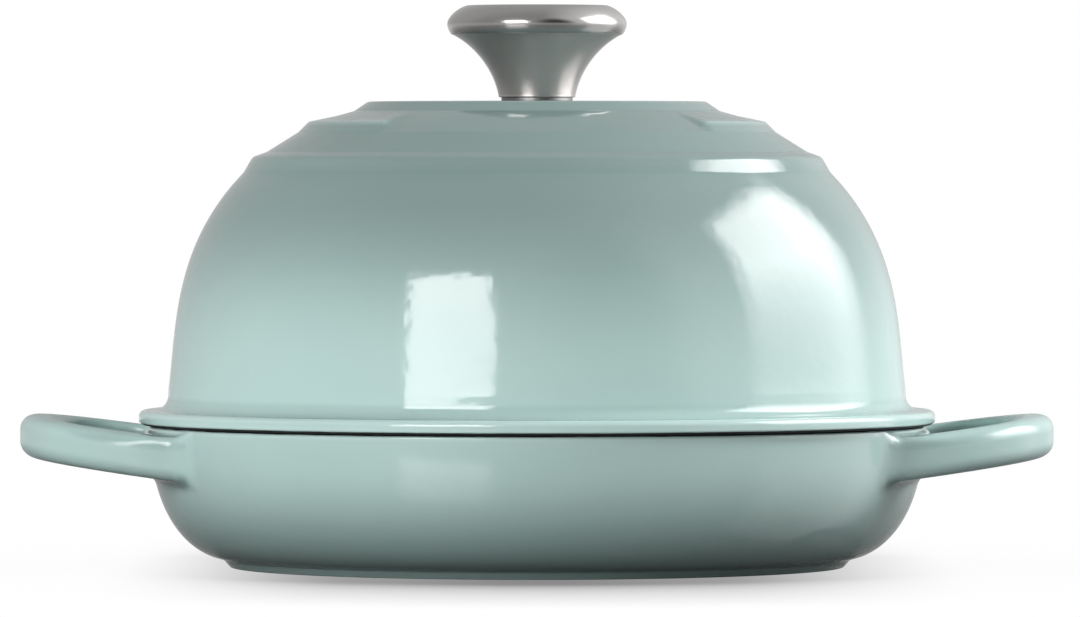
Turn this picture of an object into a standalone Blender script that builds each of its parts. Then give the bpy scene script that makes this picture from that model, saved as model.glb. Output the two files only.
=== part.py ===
"""Cast iron bread oven: a shallow round dish with two loop handles, and a stepped dome lid
with a flared steel knob held by a screw from inside.

Metres, +Z up. The origin is the centre of the dish's foot, on the table. The handles lie along X,
and the photographed side faces -Y.
"""
import math

import bmesh
import bpy
from mathutils import Matrix, Vector

MM = 0.001

# Clearances
GAP = 0.3 * MM                     # between two pieces that touch
LID_PLAY = 1.1 * MM                # all round, between the lid's locating rib and the dish

# Dish: outside
RIM_RADIUS = 121.6 * MM
RIM_HEIGHT = 44.4 * MM
RIM_EDGE = 0.8 * MM                # rounding of the rim's outer edge
WALL_RUN = 26.6 * MM               # how far the wall runs straight down before it turns in
BELLY_RUN = 10.5 * MM              # how far the underside runs straight out before it turns up
BELLY_WIDTH = 22.1 * MM            # from the rim in to where the belly meets the foot
UNDERSIDE_HEIGHT = 2.8 * MM
UNDERSIDE_SLOPE = 0.17
FOOT_INSET = 3.1 * MM              # from the belly in to the foot
FOOT_WIDTH = 8.0 * MM
FOOT_RECESS = 1.2 * MM             # how far the bottom is set up inside the foot

# Dish: inside
RIM_WIDTH = 4.6 * MM
DISH_WALL = 4.3 * MM
FLOOR_THICKNESS = 5.3 * MM
RIDGE_PITCH = 18.0 * MM            # of the raised rings on the floor, which lift the loaf
FLOOR_MARGIN = 16.0 * MM           # plain band of floor left outside them
RIDGE_HEIGHT = 0.9 * MM
RIDGE_WIDTH = 4.0 * MM

# Loop handles
HANDLE_REACH = 40.6 * MM           # from the rim to the tip
HANDLE_HALF_WIDTH = 54.0 * MM
HANDLE_SQUARENESS = 2.3            # 2 is an ellipse, more is squarer
HANDLE_DROP = 2.2 * MM             # from the rim's top to the handle's top
HANDLE_DEPTH = 13.2 * MM           # top to underside at the root
HANDLE_TOP_RISE = 0.168            # slope of the top
HANDLE_UNDER_RISE = 0.137          # slope of the underside
HANDLE_FILLET = 8.0 * MM           # in plan, where the bar meets the dish
BAR_SIDE = 12.5 * MM
BAR_TIP = 10.7 * MM
HOLE_LEDGE = 1.9 * MM              # ledge left between the rim and the finger hole
HOLE_CORNER = 10.0 * MM
ROUND_ROOT = 2.0 * MM              # rounding of the bar's edges at the root
ROUND_TIP = 4.4 * MM
ROOT_SINK = 0.8 * MM               # how far the handle's root is sunk into the wall
ROOT_DIP = 1.5 * MM                # how far the underside drops again beside the root

# Lid: outside, from the flange up
FLANGE_OVERHANG = 3.4 * MM         # past the dish's rim
FLANGE_WIDTH = 9.0 * MM            # past the dome's foot
FLANGE_THICKNESS = 4.5 * MM
FLANGE_EDGE = 1.9 * MM
FLANGE_BEVEL = 2.8 * MM            # how far the flange's lower edge is drawn in
FLANGE_BEVEL_RISE = 1.8 * MM
DOME_FOOT_FILLET = 4.6 * MM
DOME_INSET = 24.0 * MM             # from the dome's foot in to its shoulder
DOME_RISE = 74.7 * MM              # flange top to the dome's shoulder
DOME_FOOT_RUN = 21.0 * MM          # the dome's straight run at its foot
DOME_FOOT_LEAN = 3.0 * MM          # and how far it leans in over that run
DOME_TOP_RUN = 33.0 * MM           # the dome's straight run at its shoulder
DOME_TOP_ANGLE = math.radians(46)  # its slope there
STEP_RISER = 4.7 * MM
STEP_RISER_WIDTH = 2.7 * MM
STEP_TREAD = 4.5 * MM
STEP_TREAD_RISE = 1.6 * MM
CONE_WIDTH = 9.9 * MM
CONE_RISE = 6.2 * MM
PANEL_WIDTH = 12.1 * MM
PANEL_RISE = 5.1 * MM
LEDGE_WIDTH = 5.4 * MM
LEDGE_RISE = 1.5 * MM
CROWN_RISER_WIDTH = 4.4 * MM
CROWN_RISER = 3.0 * MM
STEP_EDGE = 1.6 * MM
CROWN_EDGE = 2.4 * MM

# Lid: the middle ring, a raised band left out over a bare panel at front and back
RING_SHARE = 0.73                  # its edge, as a share of the way down the panel
RING_RISE = 1.9 * MM               # how high its edge stands over the panel
RING_EDGE = 1.4 * MM
RING_TAPER = math.radians(7)       # over which its ends run down into the panel
PANEL_HALF_ANGLE = math.radians(41)
LID_TURN = math.radians(3)         # how far the lid is turned on the dish

# Lid: inside
LID_WALL = 4.3 * MM
CROWN_WALL = 5.0 * MM
RIB_DEPTH = 4.2 * MM               # locating rib, below the seat
RIB_WIDTH = 4.2 * MM
RIB_EDGE = 1.0 * MM
LID_HOLE_PLAY = 0.6 * MM           # round the knob's screw

# Knob
SEAT_RING_INSET = 0.85 * MM        # from the stem's foot in to the thin ring under it
SEAT_RING_THICKNESS = 0.7 * MM
STEM_HEIGHT = 19.9 * MM
STEM_TOP_RADIUS = 27.0 * MM
STEM_FLARE_OUT = 5.8 * MM          # the flare's pull at its top, outward
STEM_FLARE_DOWN = 2.6 * MM         # and downward
STEM_FOOT_LEAN = 1.95 * MM         # the flare's pull at its foot, outward
STEM_FOOT_RUN = 10.3 * MM          # and upward
STEM_WALL = 1.8 * MM
STEM_FLOOR = 2.0 * MM
CAP_OVERHANG = 1.2 * MM            # past the stem's top
CAP_HEIGHT = 8.7 * MM
CAP_WAIST = 2.9 * MM               # height of the widest line over the cap's seat
CAP_EDGE_WIDTH = 6.7 * MM          # of the rolled edge round the flat top
CAP_TOP_PULL = 2.1 * MM            # the edge's pull at the flat top, outward
CAP_SIDE_PULL = 2.6 * MM           # and at its widest line, upward
CAP_UNDER_PULL = 1.2 * MM          # and downward
CAP_LIP_PULL = 0.6 * MM            # and at the cap's seat
CAP_WALL = 2.2 * MM

# Knob: insert, screw and washers
SCREW_RADIUS = 3.0 * MM
SCREW_REACH = 10.5 * MM            # how far the screw stands into the insert
HEAD_RADIUS = 5.8 * MM
HEAD_HEIGHT = 3.6 * MM
HEAD_EDGE = 1.2 * MM
TIP_CHAMFER = 0.6 * MM
DRIVE_LENGTH = 6.2 * MM
DRIVE_WIDTH = 1.3 * MM
DRIVE_DEPTH = 1.9 * MM
INSERT_WALL = 2.7 * MM
INSERT_HEIGHT = 14.5 * MM
INSERT_FLANGE_WIDTH = 2.3 * MM
INSERT_FLANGE_THICKNESS = 2.4 * MM
INSERT_PLAY = 1.95 * MM            # round the insert's flange, inside the stem
FLAT_WASHER_WIDTH = 5.0 * MM
FLAT_WASHER_THICKNESS = 1.6 * MM
SPRING_WASHER_WIDTH = 2.4 * MM
SPRING_WASHER_THICKNESS = 1.6 * MM
SPRING_WASHER_SPLIT = 0.9 * MM
SPLIT_LEAN = math.radians(25)      # how far the split slants across the washer

# Facets
BIG_STEPS = 52
KNOB_STEPS = 32
SMALL_STEPS = 24
SHARP_ANGLE = math.radians(35)
LEAST_ROUNDING = 0.02 * MM         # a rounding that would be smaller is left a plain corner

ENAMEL = (0.36, 0.54, 0.51)
STEEL = (0.50, 0.49, 0.47)
ZINC = (0.62, 0.63, 0.65)

# Heights and radii that follow from the sizes above
FLOOR_HEIGHT = FOOT_RECESS + FLOOR_THICKNESS
UNDERSIDE_RADIUS = RIM_RADIUS - BELLY_WIDTH
FOOT_RADIUS = UNDERSIDE_RADIUS - FOOT_INSET
RIM_INNER_RADIUS = RIM_RADIUS - RIM_WIDTH
SEAT_HEIGHT = RIM_HEIGHT + GAP
RIB_RADIUS = RIM_INNER_RADIUS - LID_PLAY
FLANGE_RADIUS = RIM_RADIUS + FLANGE_OVERHANG
DOME_FOOT_RADIUS = FLANGE_RADIUS - FLANGE_WIDTH
SHOULDER_RADIUS = DOME_FOOT_RADIUS - DOME_INSET
STEP_RADIUS = SHOULDER_RADIUS - STEP_RISER_WIDTH
TREAD_START = STEP_RADIUS - STEP_TREAD
CONE_START = TREAD_START - CONE_WIDTH
PANEL_START = CONE_START - PANEL_WIDTH
LEDGE_START = PANEL_START - LEDGE_WIDTH
CROWN_RADIUS = LEDGE_START - CROWN_RISER_WIDTH
CROWN_HEIGHT = (FLANGE_THICKNESS + DOME_RISE + STEP_RISER + STEP_TREAD_RISE + CONE_RISE
                + PANEL_RISE + LEDGE_RISE + CROWN_RISER)
CEILING_HEIGHT = CROWN_HEIGHT - CROWN_WALL
SCREW_HOLE_RADIUS = SCREW_RADIUS + LID_HOLE_PLAY
BORE_RADIUS = SCREW_RADIUS + GAP
INSERT_RADIUS = BORE_RADIUS + INSERT_WALL
INSERT_FLANGE_RADIUS = INSERT_RADIUS + INSERT_FLANGE_WIDTH
STEM_HOLE_RADIUS = INSERT_RADIUS + GAP
STEM_FOOT_INSIDE = INSERT_FLANGE_RADIUS + INSERT_PLAY
STEM_FOOT_RADIUS = STEM_FOOT_INSIDE + STEM_WALL
SEAT_RING_RADIUS = STEM_FOOT_RADIUS - SEAT_RING_INSET
STEM_SEAT = CROWN_HEIGHT + GAP + SEAT_RING_THICKNESS + GAP
CAP_SEAT = STEM_SEAT + STEM_HEIGHT + GAP
CAP_RADIUS = STEM_TOP_RADIUS + CAP_OVERHANG
CAP_FLAT_RADIUS = CAP_RADIUS - CAP_EDGE_WIDTH


# Outlines, as lists of (radius, height)

def curve(start, pull_start, pull_end, end, count):
    """Points of a cubic curve, both ends included."""
    points = []
    for i in range(count + 1):
        t = i / count
        s = 1 - t
        weights = (s ** 3, 3 * s * s * t, 3 * s * t * t, t ** 3)
        corners = (start, pull_start, pull_end, end)
        points.append(tuple(sum(w * c[k] for w, c in zip(weights, corners)) for k in (0, 1)))
    return points


def rounded(corners, pieces=2):
    """An outline through corners (radius, height, rounding), each turned with an arc of its rounding."""
    points = [corners[0][:2]]

    def room(corner, beside):
        """Length of the side between two corners that one may round: half, or all where it is alone."""
        share = 0.48 if beside[2] else 0.95
        return share * math.dist(corner[:2], beside[:2])

    for before, corner, after in zip(corners, corners[1:], corners[2:]):
        here = Vector(corner[:2])
        to_before = (Vector(before[:2]) - here).normalized()
        to_after = (Vector(after[:2]) - here).normalized()
        half = to_before.angle(to_after) / 2
        reach = min(corner[2] / math.tan(half), room(corner, before), room(corner, after))
        if reach < LEAST_ROUNDING:
            points.append(tuple(here))
            continue
        first = here + to_before * reach
        last = here + to_after * reach
        sweep = math.pi - 2 * half
        radius = reach * math.tan(half)
        centre = here + (to_before + to_after).normalized() * (radius / math.sin(half))
        turn = sweep if to_before.cross(to_after) > 0 else -sweep
        arm = first - centre
        for i in range(pieces):
            angle = turn * i / pieces
            cos, sin = math.cos(angle), math.sin(angle)
            points.append((centre.x + arm.x * cos + arm.y * sin, centre.y - arm.x * sin + arm.y * cos))
        points.append(tuple(last))
    points.append(corners[-1][:2])
    return points


def set_in(points, distance):
    """The outline moved towards its right-hand side, which is the inside of one that runs down."""
    moved = []
    for i, point in enumerate(points):
        before = Vector(points[max(i - 1, 0)])
        after = Vector(points[min(i + 1, len(points) - 1)])
        along = (after - before).normalized()
        moved.append((point[0] + along.y * distance, point[1] - along.x * distance))
    return moved


def dish_belly():
    """Outside of the dish, from under the rim's edge down to the foot."""
    return curve(
        (RIM_RADIUS, RIM_HEIGHT - RIM_EDGE),
        (RIM_RADIUS, RIM_HEIGHT - RIM_EDGE - WALL_RUN),
        (UNDERSIDE_RADIUS + BELLY_RUN, UNDERSIDE_HEIGHT + BELLY_RUN * UNDERSIDE_SLOPE),
        (UNDERSIDE_RADIUS, UNDERSIDE_HEIGHT),
        10,
    )


def wall_radius(height):
    """Outer radius of the dish at a height."""
    belly = dish_belly()
    for upper, lower in zip(belly, belly[1:]):
        if lower[1] <= height <= upper[1]:
            share = (height - lower[1]) / (upper[1] - lower[1])
            return lower[0] + share * (upper[0] - lower[0])
    return belly[0][0] if height > belly[0][1] else belly[-1][0]


def ridge(radius):
    """One raised ring of the floor, from its inner side to its outer side."""
    half = RIDGE_WIDTH / 2
    return [
        (radius - half, FLOOR_HEIGHT),
        (radius, FLOOR_HEIGHT + RIDGE_HEIGHT),
        (radius + half, FLOOR_HEIGHT),
    ]


def dish_outline():
    """The dish's section: out over the floor, up to the rim, down the outside, and in to the middle."""
    belly = dish_belly()
    straight = RIM_HEIGHT - 2 * RIB_DEPTH
    wall = [
        p for p in set_in(belly, DISH_WALL)
        if FLOOR_HEIGHT < p[1] < straight - RIM_EDGE and p[0] < RIM_INNER_RADIUS
    ]
    floor = [(0, FLOOR_HEIGHT)]
    for i in range(1, 1 + int((wall[-1][0] - FLOOR_MARGIN) / RIDGE_PITCH)):
        floor += ridge(RIDGE_PITCH * i)
    rim = [
        (RIM_INNER_RADIUS, straight),
        (RIM_INNER_RADIUS, RIM_HEIGHT),
        (RIM_RADIUS - RIM_EDGE, RIM_HEIGHT),
    ]
    foot = [
        (FOOT_RADIUS + FOOT_INSET / 3, UNDERSIDE_HEIGHT / 2),
        (FOOT_RADIUS, 0),
        (FOOT_RADIUS - FOOT_WIDTH, 0),
        (FOOT_RADIUS - FOOT_WIDTH - FOOT_RECESS, FOOT_RECESS),
        (0, FOOT_RECESS),
    ]
    return floor + wall[::-1] + rim + belly + foot


def dome_curve():
    """Outside of the dome, from its shoulder down to the fillet over the flange."""
    top = FLANGE_THICKNESS + DOME_RISE
    foot = FLANGE_THICKNESS + DOME_FOOT_FILLET
    return curve(
        (SHOULDER_RADIUS, top),
        (SHOULDER_RADIUS + DOME_TOP_RUN * math.cos(DOME_TOP_ANGLE),
         top - DOME_TOP_RUN * math.sin(DOME_TOP_ANGLE)),
        (DOME_FOOT_RADIUS - DOME_FOOT_LEAN, foot + DOME_FOOT_RUN),
        (DOME_FOOT_RADIUS, foot),
        10,
    )


def ring_presence(angle):
    """1 on the middle ring, 0 on the two bare panels about the Y axis, between them along its ends."""
    from_panel = abs(math.asin(math.cos(angle))) - PANEL_HALF_ANGLE
    share = min(1.0, max(0.0, from_panel / RING_TAPER + 0.5))
    return share * share * (3 - 2 * share)


def panel_band(panel_top, presence):
    """The conical band that carries the middle ring, from PANEL_START to CONE_START."""
    foot = (CONE_START, panel_top - PANEL_RISE)
    edge = PANEL_START + RING_SHARE * PANEL_WIDTH
    crest = rounded([
        (PANEL_START, panel_top, 0),
        (edge, panel_top - RING_SHARE * PANEL_RISE + RING_RISE, RING_EDGE),
        (*foot, 0),
    ])[1:-1]
    band = []
    for radius, height in crest:
        bare = panel_top - PANEL_RISE * (radius - PANEL_START) / PANEL_WIDTH
        band.append((radius, bare + presence * (height - bare)))
    return [(PANEL_START, panel_top)] + band + [foot]


def crown_outline(presence):
    """The stepped top, from the crown's middle down to the dome's shoulder."""
    ledge_top = CROWN_HEIGHT - CROWN_RISER
    panel_top = ledge_top - LEDGE_RISE
    cone_top = panel_top - PANEL_RISE
    tread_top = cone_top - CONE_RISE
    crown = rounded([
        (SCREW_HOLE_RADIUS, CROWN_HEIGHT, 0),
        (CROWN_RADIUS, CROWN_HEIGHT, CROWN_EDGE),
        (LEDGE_START, ledge_top, CROWN_EDGE),
        (PANEL_START, panel_top, 0),
    ])[:-1]
    step = rounded([
        (TREAD_START, tread_top, 0),
        (STEP_RADIUS, tread_top - STEP_TREAD_RISE, STEP_EDGE),
        (SHOULDER_RADIUS, FLANGE_THICKNESS + DOME_RISE, 0),
    ])[:-1]
    return crown + panel_band(panel_top, presence) + step


def lid_outline(presence):
    """The lid's section: down the outside, round the flange, and up the smooth inside."""
    dome = dome_curve()
    flange = rounded([
        (*dome[-1], 0),
        (DOME_FOOT_RADIUS, FLANGE_THICKNESS, DOME_FOOT_FILLET),
        (FLANGE_RADIUS, FLANGE_THICKNESS, FLANGE_EDGE),
        (FLANGE_RADIUS, FLANGE_BEVEL_RISE, 0),
        (FLANGE_RADIUS - FLANGE_BEVEL, 0, 0),
    ])
    rib = [(RIB_RADIUS, 0), (RIB_RADIUS, RIB_EDGE - RIB_DEPTH), (RIB_RADIUS - RIB_EDGE, -RIB_DEPTH)]
    shoulder = (TREAD_START, FLANGE_THICKNESS + DOME_RISE + STEP_RISER + STEP_TREAD_RISE)
    inside = set_in([(CROWN_RADIUS, CROWN_HEIGHT - CROWN_RISER), shoulder] + dome[2::2], LID_WALL)[1:]
    foot = [(RIB_RADIUS - RIB_WIDTH, -RIB_DEPTH)]
    ceiling = [(CROWN_RADIUS, CEILING_HEIGHT), (SCREW_HOLE_RADIUS, CEILING_HEIGHT)]
    return crown_outline(presence) + dome + flange[1:] + rib + foot + inside[::-1] + ceiling


def stem_flare():
    """Outside of the knob's stem, from its wide top down to its foot."""
    return curve(
        (STEM_TOP_RADIUS, STEM_HEIGHT),
        (STEM_TOP_RADIUS - STEM_FLARE_OUT, STEM_HEIGHT - STEM_FLARE_DOWN),
        (STEM_FOOT_RADIUS + STEM_FOOT_LEAN, STEM_FOOT_RUN),
        (STEM_FOOT_RADIUS, 0),
        10,
    )


def stem_outline():
    """Section of the hollow stem: down the flare, across its pierced floor, and up the inside."""
    flare = stem_flare()
    inside = [p for p in set_in(flare, STEM_WALL)[::2] if STEM_FLOOR < p[1] < STEM_HEIGHT]
    floor = [
        (STEM_HOLE_RADIUS, 0),
        (STEM_HOLE_RADIUS, STEM_FLOOR),
        (STEM_FOOT_INSIDE, STEM_FLOOR),
    ]
    return flare + floor + inside[::-1] + [(STEM_TOP_RADIUS - STEM_WALL, STEM_HEIGHT)]


def cap_outline():
    """Section of the cap: over its top, round the rolled edge, and up inside it."""
    edge = curve(
        (CAP_FLAT_RADIUS, CAP_HEIGHT),
        (CAP_FLAT_RADIUS + CAP_TOP_PULL, CAP_HEIGHT),
        (CAP_RADIUS, CAP_WAIST + CAP_SIDE_PULL),
        (CAP_RADIUS, CAP_WAIST),
        6,
    )
    under = curve(
        (CAP_RADIUS, CAP_WAIST),
        (CAP_RADIUS, CAP_WAIST - CAP_UNDER_PULL),
        (STEM_TOP_RADIUS + CAP_LIP_PULL, CAP_LIP_PULL),
        (STEM_TOP_RADIUS, 0),
        3,
    )
    inner = STEM_TOP_RADIUS - CAP_WALL
    hollow = [(inner, 0), (inner, CAP_WAIST), (CAP_FLAT_RADIUS - CAP_WALL, CAP_HEIGHT - CAP_WALL),
              (0, CAP_HEIGHT - CAP_WALL)]
    return [(0, CAP_HEIGHT)] + edge + under[1:] + hollow


def washer_outline(inner, outer, thickness):
    """Flat ring with its underside at height 0."""
    return [(inner, thickness), (outer, thickness), (outer, 0), (inner, 0)]


def insert_outline():
    """Threaded bush: a sleeve through the stem's floor, with a flange that bears on that floor."""
    shelf = STEM_FLOOR + GAP
    return [
        (BORE_RADIUS, INSERT_HEIGHT),
        (INSERT_RADIUS, INSERT_HEIGHT),
        (INSERT_RADIUS, shelf + INSERT_FLANGE_THICKNESS),
        (INSERT_FLANGE_RADIUS, shelf + INSERT_FLANGE_THICKNESS),
        (INSERT_FLANGE_RADIUS, shelf),
        (INSERT_RADIUS, shelf),
        (INSERT_RADIUS, 0),
        (BORE_RADIUS, 0),
    ]


def screw_outline(shank):
    """Pan head screw with its head down, from the shank's tip to the middle of the head."""
    return [
        (0, HEAD_HEIGHT + shank),
        (SCREW_RADIUS - TIP_CHAMFER, HEAD_HEIGHT + shank),
        (SCREW_RADIUS, HEAD_HEIGHT + shank - TIP_CHAMFER),
        (SCREW_RADIUS, HEAD_HEIGHT),
        (HEAD_RADIUS, HEAD_HEIGHT),
        (HEAD_RADIUS, HEAD_EDGE),
        (HEAD_RADIUS - HEAD_EDGE, 0),
        (0, 0),
    ]


# Objects

def material(name, colour, roughness, metallic):
    """A plain material for one piece."""
    made = bpy.data.materials.new(name)
    made.use_nodes = True
    shader = made.node_tree.nodes["Principled BSDF"]
    shader.inputs["Base Color"].default_value = (*colour, 1)
    shader.inputs["Roughness"].default_value = roughness
    shader.inputs["Metallic"].default_value = metallic
    return made


def place(name, mesh, height=0.0, parent=None):
    """Put a mesh into the scene as a named object, at a height over its parent."""
    made = bpy.data.objects.new(name, mesh)
    bpy.context.collection.objects.link(made)
    made.parent = parent
    made.location.z = height
    return made


def make_guide(made):
    """Keep a shape that only cuts or joins another one out of the model."""
    made.hide_render = True
    made.display_type = "WIRE"
    return made


def turned(name, outline, steps, height=0.0, parent=None, closed=True):
    """A round piece: its outline carried round the Z axis. A closed outline keeps off the axis."""
    count = len(outline)
    edges = [(i, i + 1) for i in range(count - 1)]
    if closed:
        edges.append((count - 1, 0))
    mesh = bpy.data.meshes.new(name)
    mesh.from_pydata([(r, 0, z) for r, z in outline], edges, [])
    made = place(name, mesh, height, parent)
    screw = made.modifiers.new("turn", "SCREW")
    screw.steps = steps
    screw.render_steps = steps
    screw.use_merge_vertices = True
    screw.merge_threshold = 0.00001
    screw.use_smooth_shade = True
    return made


def ring_of_sections(name, sections):
    """A mesh that runs round through closed sections with as many points each, and back to the first."""
    bm = bmesh.new()
    rings = [[bm.verts.new(p) for p in section] for section in sections]
    for ring, following in zip(rings, rings[1:] + rings[:1]):
        for k in range(len(ring)):
            after = (k + 1) % len(ring)
            bm.faces.new((ring[k], ring[after], following[after], following[k]))
    bmesh.ops.recalc_face_normals(bm, faces=bm.faces)
    mesh = bpy.data.meshes.new(name)
    bm.to_mesh(mesh)
    bm.free()
    return mesh


def boolean(made, tool, operation):
    """Join a guide shape to a piece with UNION, or cut it away with DIFFERENCE."""
    modifier = made.modifiers.new(f"{operation} {tool.name}", "BOOLEAN")
    modifier.object = tool
    modifier.operation = operation
    modifier.solver = "EXACT"


def bar(name, length, width, depth):
    """A plain block centred on the origin, for cutting."""
    bm = bmesh.new()
    bmesh.ops.create_cube(bm, size=1, matrix=Matrix.Diagonal((length, width, depth, 1)))
    mesh = bpy.data.meshes.new(name)
    bm.to_mesh(mesh)
    bm.free()
    return mesh


# Loop handle, as sections round its finger hole

def squarish(centre_x, reach, half_width, angle):
    """Point of a squared ellipse about (centre_x, 0)."""
    power = 2 / HANDLE_SQUARENESS
    cos, sin = math.cos(angle), math.sin(angle)
    return (centre_x + reach * abs(cos) ** power, math.copysign(half_width * abs(sin) ** power, sin))


def corner_arc(ring_radius, line, radius, inside, count):
    """Arc that joins the line y = line to the circle ring_radius, in plan, from the line to the circle.

    inside says that the arc lies between the line and the X axis, as in the finger hole.
    """
    centre_y = line - radius if inside else line + radius
    centre_x = math.sqrt((ring_radius + radius) ** 2 - centre_y ** 2)
    start = math.radians(90 if inside else -90)
    end = math.atan2(centre_y, centre_x) + (math.pi if inside else -math.pi)
    points = []
    for i in range(count + 1):
        angle = start + (end - start) * i / count
        points.append((centre_x + radius * math.cos(angle), centre_y + radius * math.sin(angle)))
    return points


def handle_top(x, root_radius):
    """Height of the handle's top, level over the root and rising outwards."""
    return RIM_HEIGHT - HANDLE_DROP + HANDLE_TOP_RISE * max(0.0, x - root_radius)


def handle_underside(x, root_radius):
    """Height of the handle's underside, rising outwards."""
    return RIM_HEIGHT - HANDLE_DROP - HANDLE_DEPTH + HANDLE_UNDER_RISE * (x - root_radius)


def handle_stations():
    """Pairs of plan points round one handle: on the outline, and on the finger hole."""
    root = wall_radius(RIM_HEIGHT - HANDLE_DROP - HANDLE_DEPTH - ROOT_DIP) - ROOT_SINK
    hole_ring = RIM_RADIUS + HOLE_LEDGE
    tip = RIM_RADIUS + HANDLE_REACH
    outer_corner = corner_arc(root, HANDLE_HALF_WIDTH, HANDLE_FILLET, False, 4)
    hole_half = HANDLE_HALF_WIDTH - BAR_SIDE
    inner_corner = corner_arc(hole_ring, hole_half, HOLE_CORNER, True, 4)
    outer_x, inner_x = outer_corner[0][0], inner_corner[0][0]
    stations = []
    for i in range(10):
        angle = math.radians(10 * i)
        stations.append((
            squarish(outer_x, tip - outer_x, HANDLE_HALF_WIDTH, angle),
            squarish(inner_x, tip - BAR_TIP - inner_x, hole_half, angle),
        ))
    stations += list(zip(outer_corner[1:], inner_corner[1:]))
    hidden = math.atan2(outer_corner[-1][1], outer_corner[-1][0])
    shown = math.atan2(inner_corner[-1][1], inner_corner[-1][0])
    for share in (2 / 3, 1 / 3, 0):
        stations.append((
            (root * math.cos(hidden * share), root * math.sin(hidden * share)),
            (hole_ring * math.cos(shown * share), hole_ring * math.sin(shown * share)),
        ))
    mirrored = [((a[0], -a[1]), (b[0], -b[1])) for a, b in stations[-2:0:-1]]
    return stations + mirrored, root, tip


def handle_section(outer, inner, root, tip):
    """Rounded section between two plan points: 12 points, three to each corner."""
    outer, inner = Vector(outer), Vector(inner)
    across = outer - inner
    width = across.length
    middle = (outer + inner) / 2
    along = min(1.0, max(0.0, (middle.x - root) / (tip - root)))
    rounding = min(ROUND_ROOT + (ROUND_TIP - ROUND_ROOT) * along, 0.45 * width, 0.45 * HANDLE_DEPTH)
    points = []
    for side, up in ((1, 1), (-1, 1), (-1, -1), (1, -1)):
        for k in range(3):
            turn = math.radians(45 * k)
            if side * up < 0:
                turn = math.radians(90) - turn
            reach = width / 2 - rounding + rounding * math.cos(turn)
            plan = middle + across.normalized() * side * reach
            if up > 0:
                height = handle_top(plan.x, root) - rounding * (1 - math.sin(turn))
            else:
                height = handle_underside(plan.x, root) + rounding * (1 - math.sin(turn))
            points.append((plan.x, plan.y, height))
    return points


def loop_handle(name, turn):
    """One loop handle, turned about Z to its side of the dish."""
    stations, root, tip = handle_stations()
    mesh = ring_of_sections(name, [handle_section(a, b, root, tip) for a, b in stations])
    mesh.transform(Matrix.Rotation(turn, 4, "Z"))
    return make_guide(place(name, mesh))


# Pieces

def make_dish():
    """The dish with its two handles, one casting."""
    dish = turned("base", dish_outline(), BIG_STEPS, closed=False)
    boolean(dish, loop_handle("handle_right", 0.0), "UNION")
    boolean(dish, loop_handle("handle_left", math.pi), "UNION")
    dish.data.materials.append(material("base_enamel", ENAMEL, 0.12, 0.0))


def make_lid(carrier):
    """The lid: its section carried round, with the middle ring coming and going."""
    sections = []
    for i in range(BIG_STEPS):
        angle = 2 * math.pi * i / BIG_STEPS
        outline = lid_outline(ring_presence(angle))
        sections.append([(r * math.cos(angle), r * math.sin(angle), z) for r, z in outline])
    mesh = ring_of_sections("lid", sections)
    mesh.shade_smooth()
    mesh.set_sharp_from_angle(angle=SHARP_ANGLE)
    lid = place("lid", mesh, 0, carrier)
    lid.data.materials.append(material("lid_enamel", ENAMEL, 0.12, 0.0))


def make_knob(carrier):
    """Seat ring, hollow stem, cap and threaded insert, stacked up from the crown."""
    ring = turned(
        "knob_seat_ring",
        washer_outline(STEM_HOLE_RADIUS, SEAT_RING_RADIUS, SEAT_RING_THICKNESS),
        KNOB_STEPS, CROWN_HEIGHT + GAP, carrier,
    )
    ring.data.materials.append(material("seat_ring_steel", ZINC, 0.45, 1.0))
    stem = turned("knob_stem", stem_outline(), KNOB_STEPS, STEM_SEAT, carrier)
    stem.data.materials.append(material("stem_steel", STEEL, 0.28, 1.0))
    cap = turned("knob_cap", cap_outline(), KNOB_STEPS, CAP_SEAT, carrier, closed=False)
    cap.data.materials.append(material("cap_steel", STEEL, 0.28, 1.0))
    insert = turned("knob_insert", insert_outline(), SMALL_STEPS, STEM_SEAT, carrier)
    insert.data.materials.append(material("insert_steel", ZINC, 0.4, 1.0))


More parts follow.
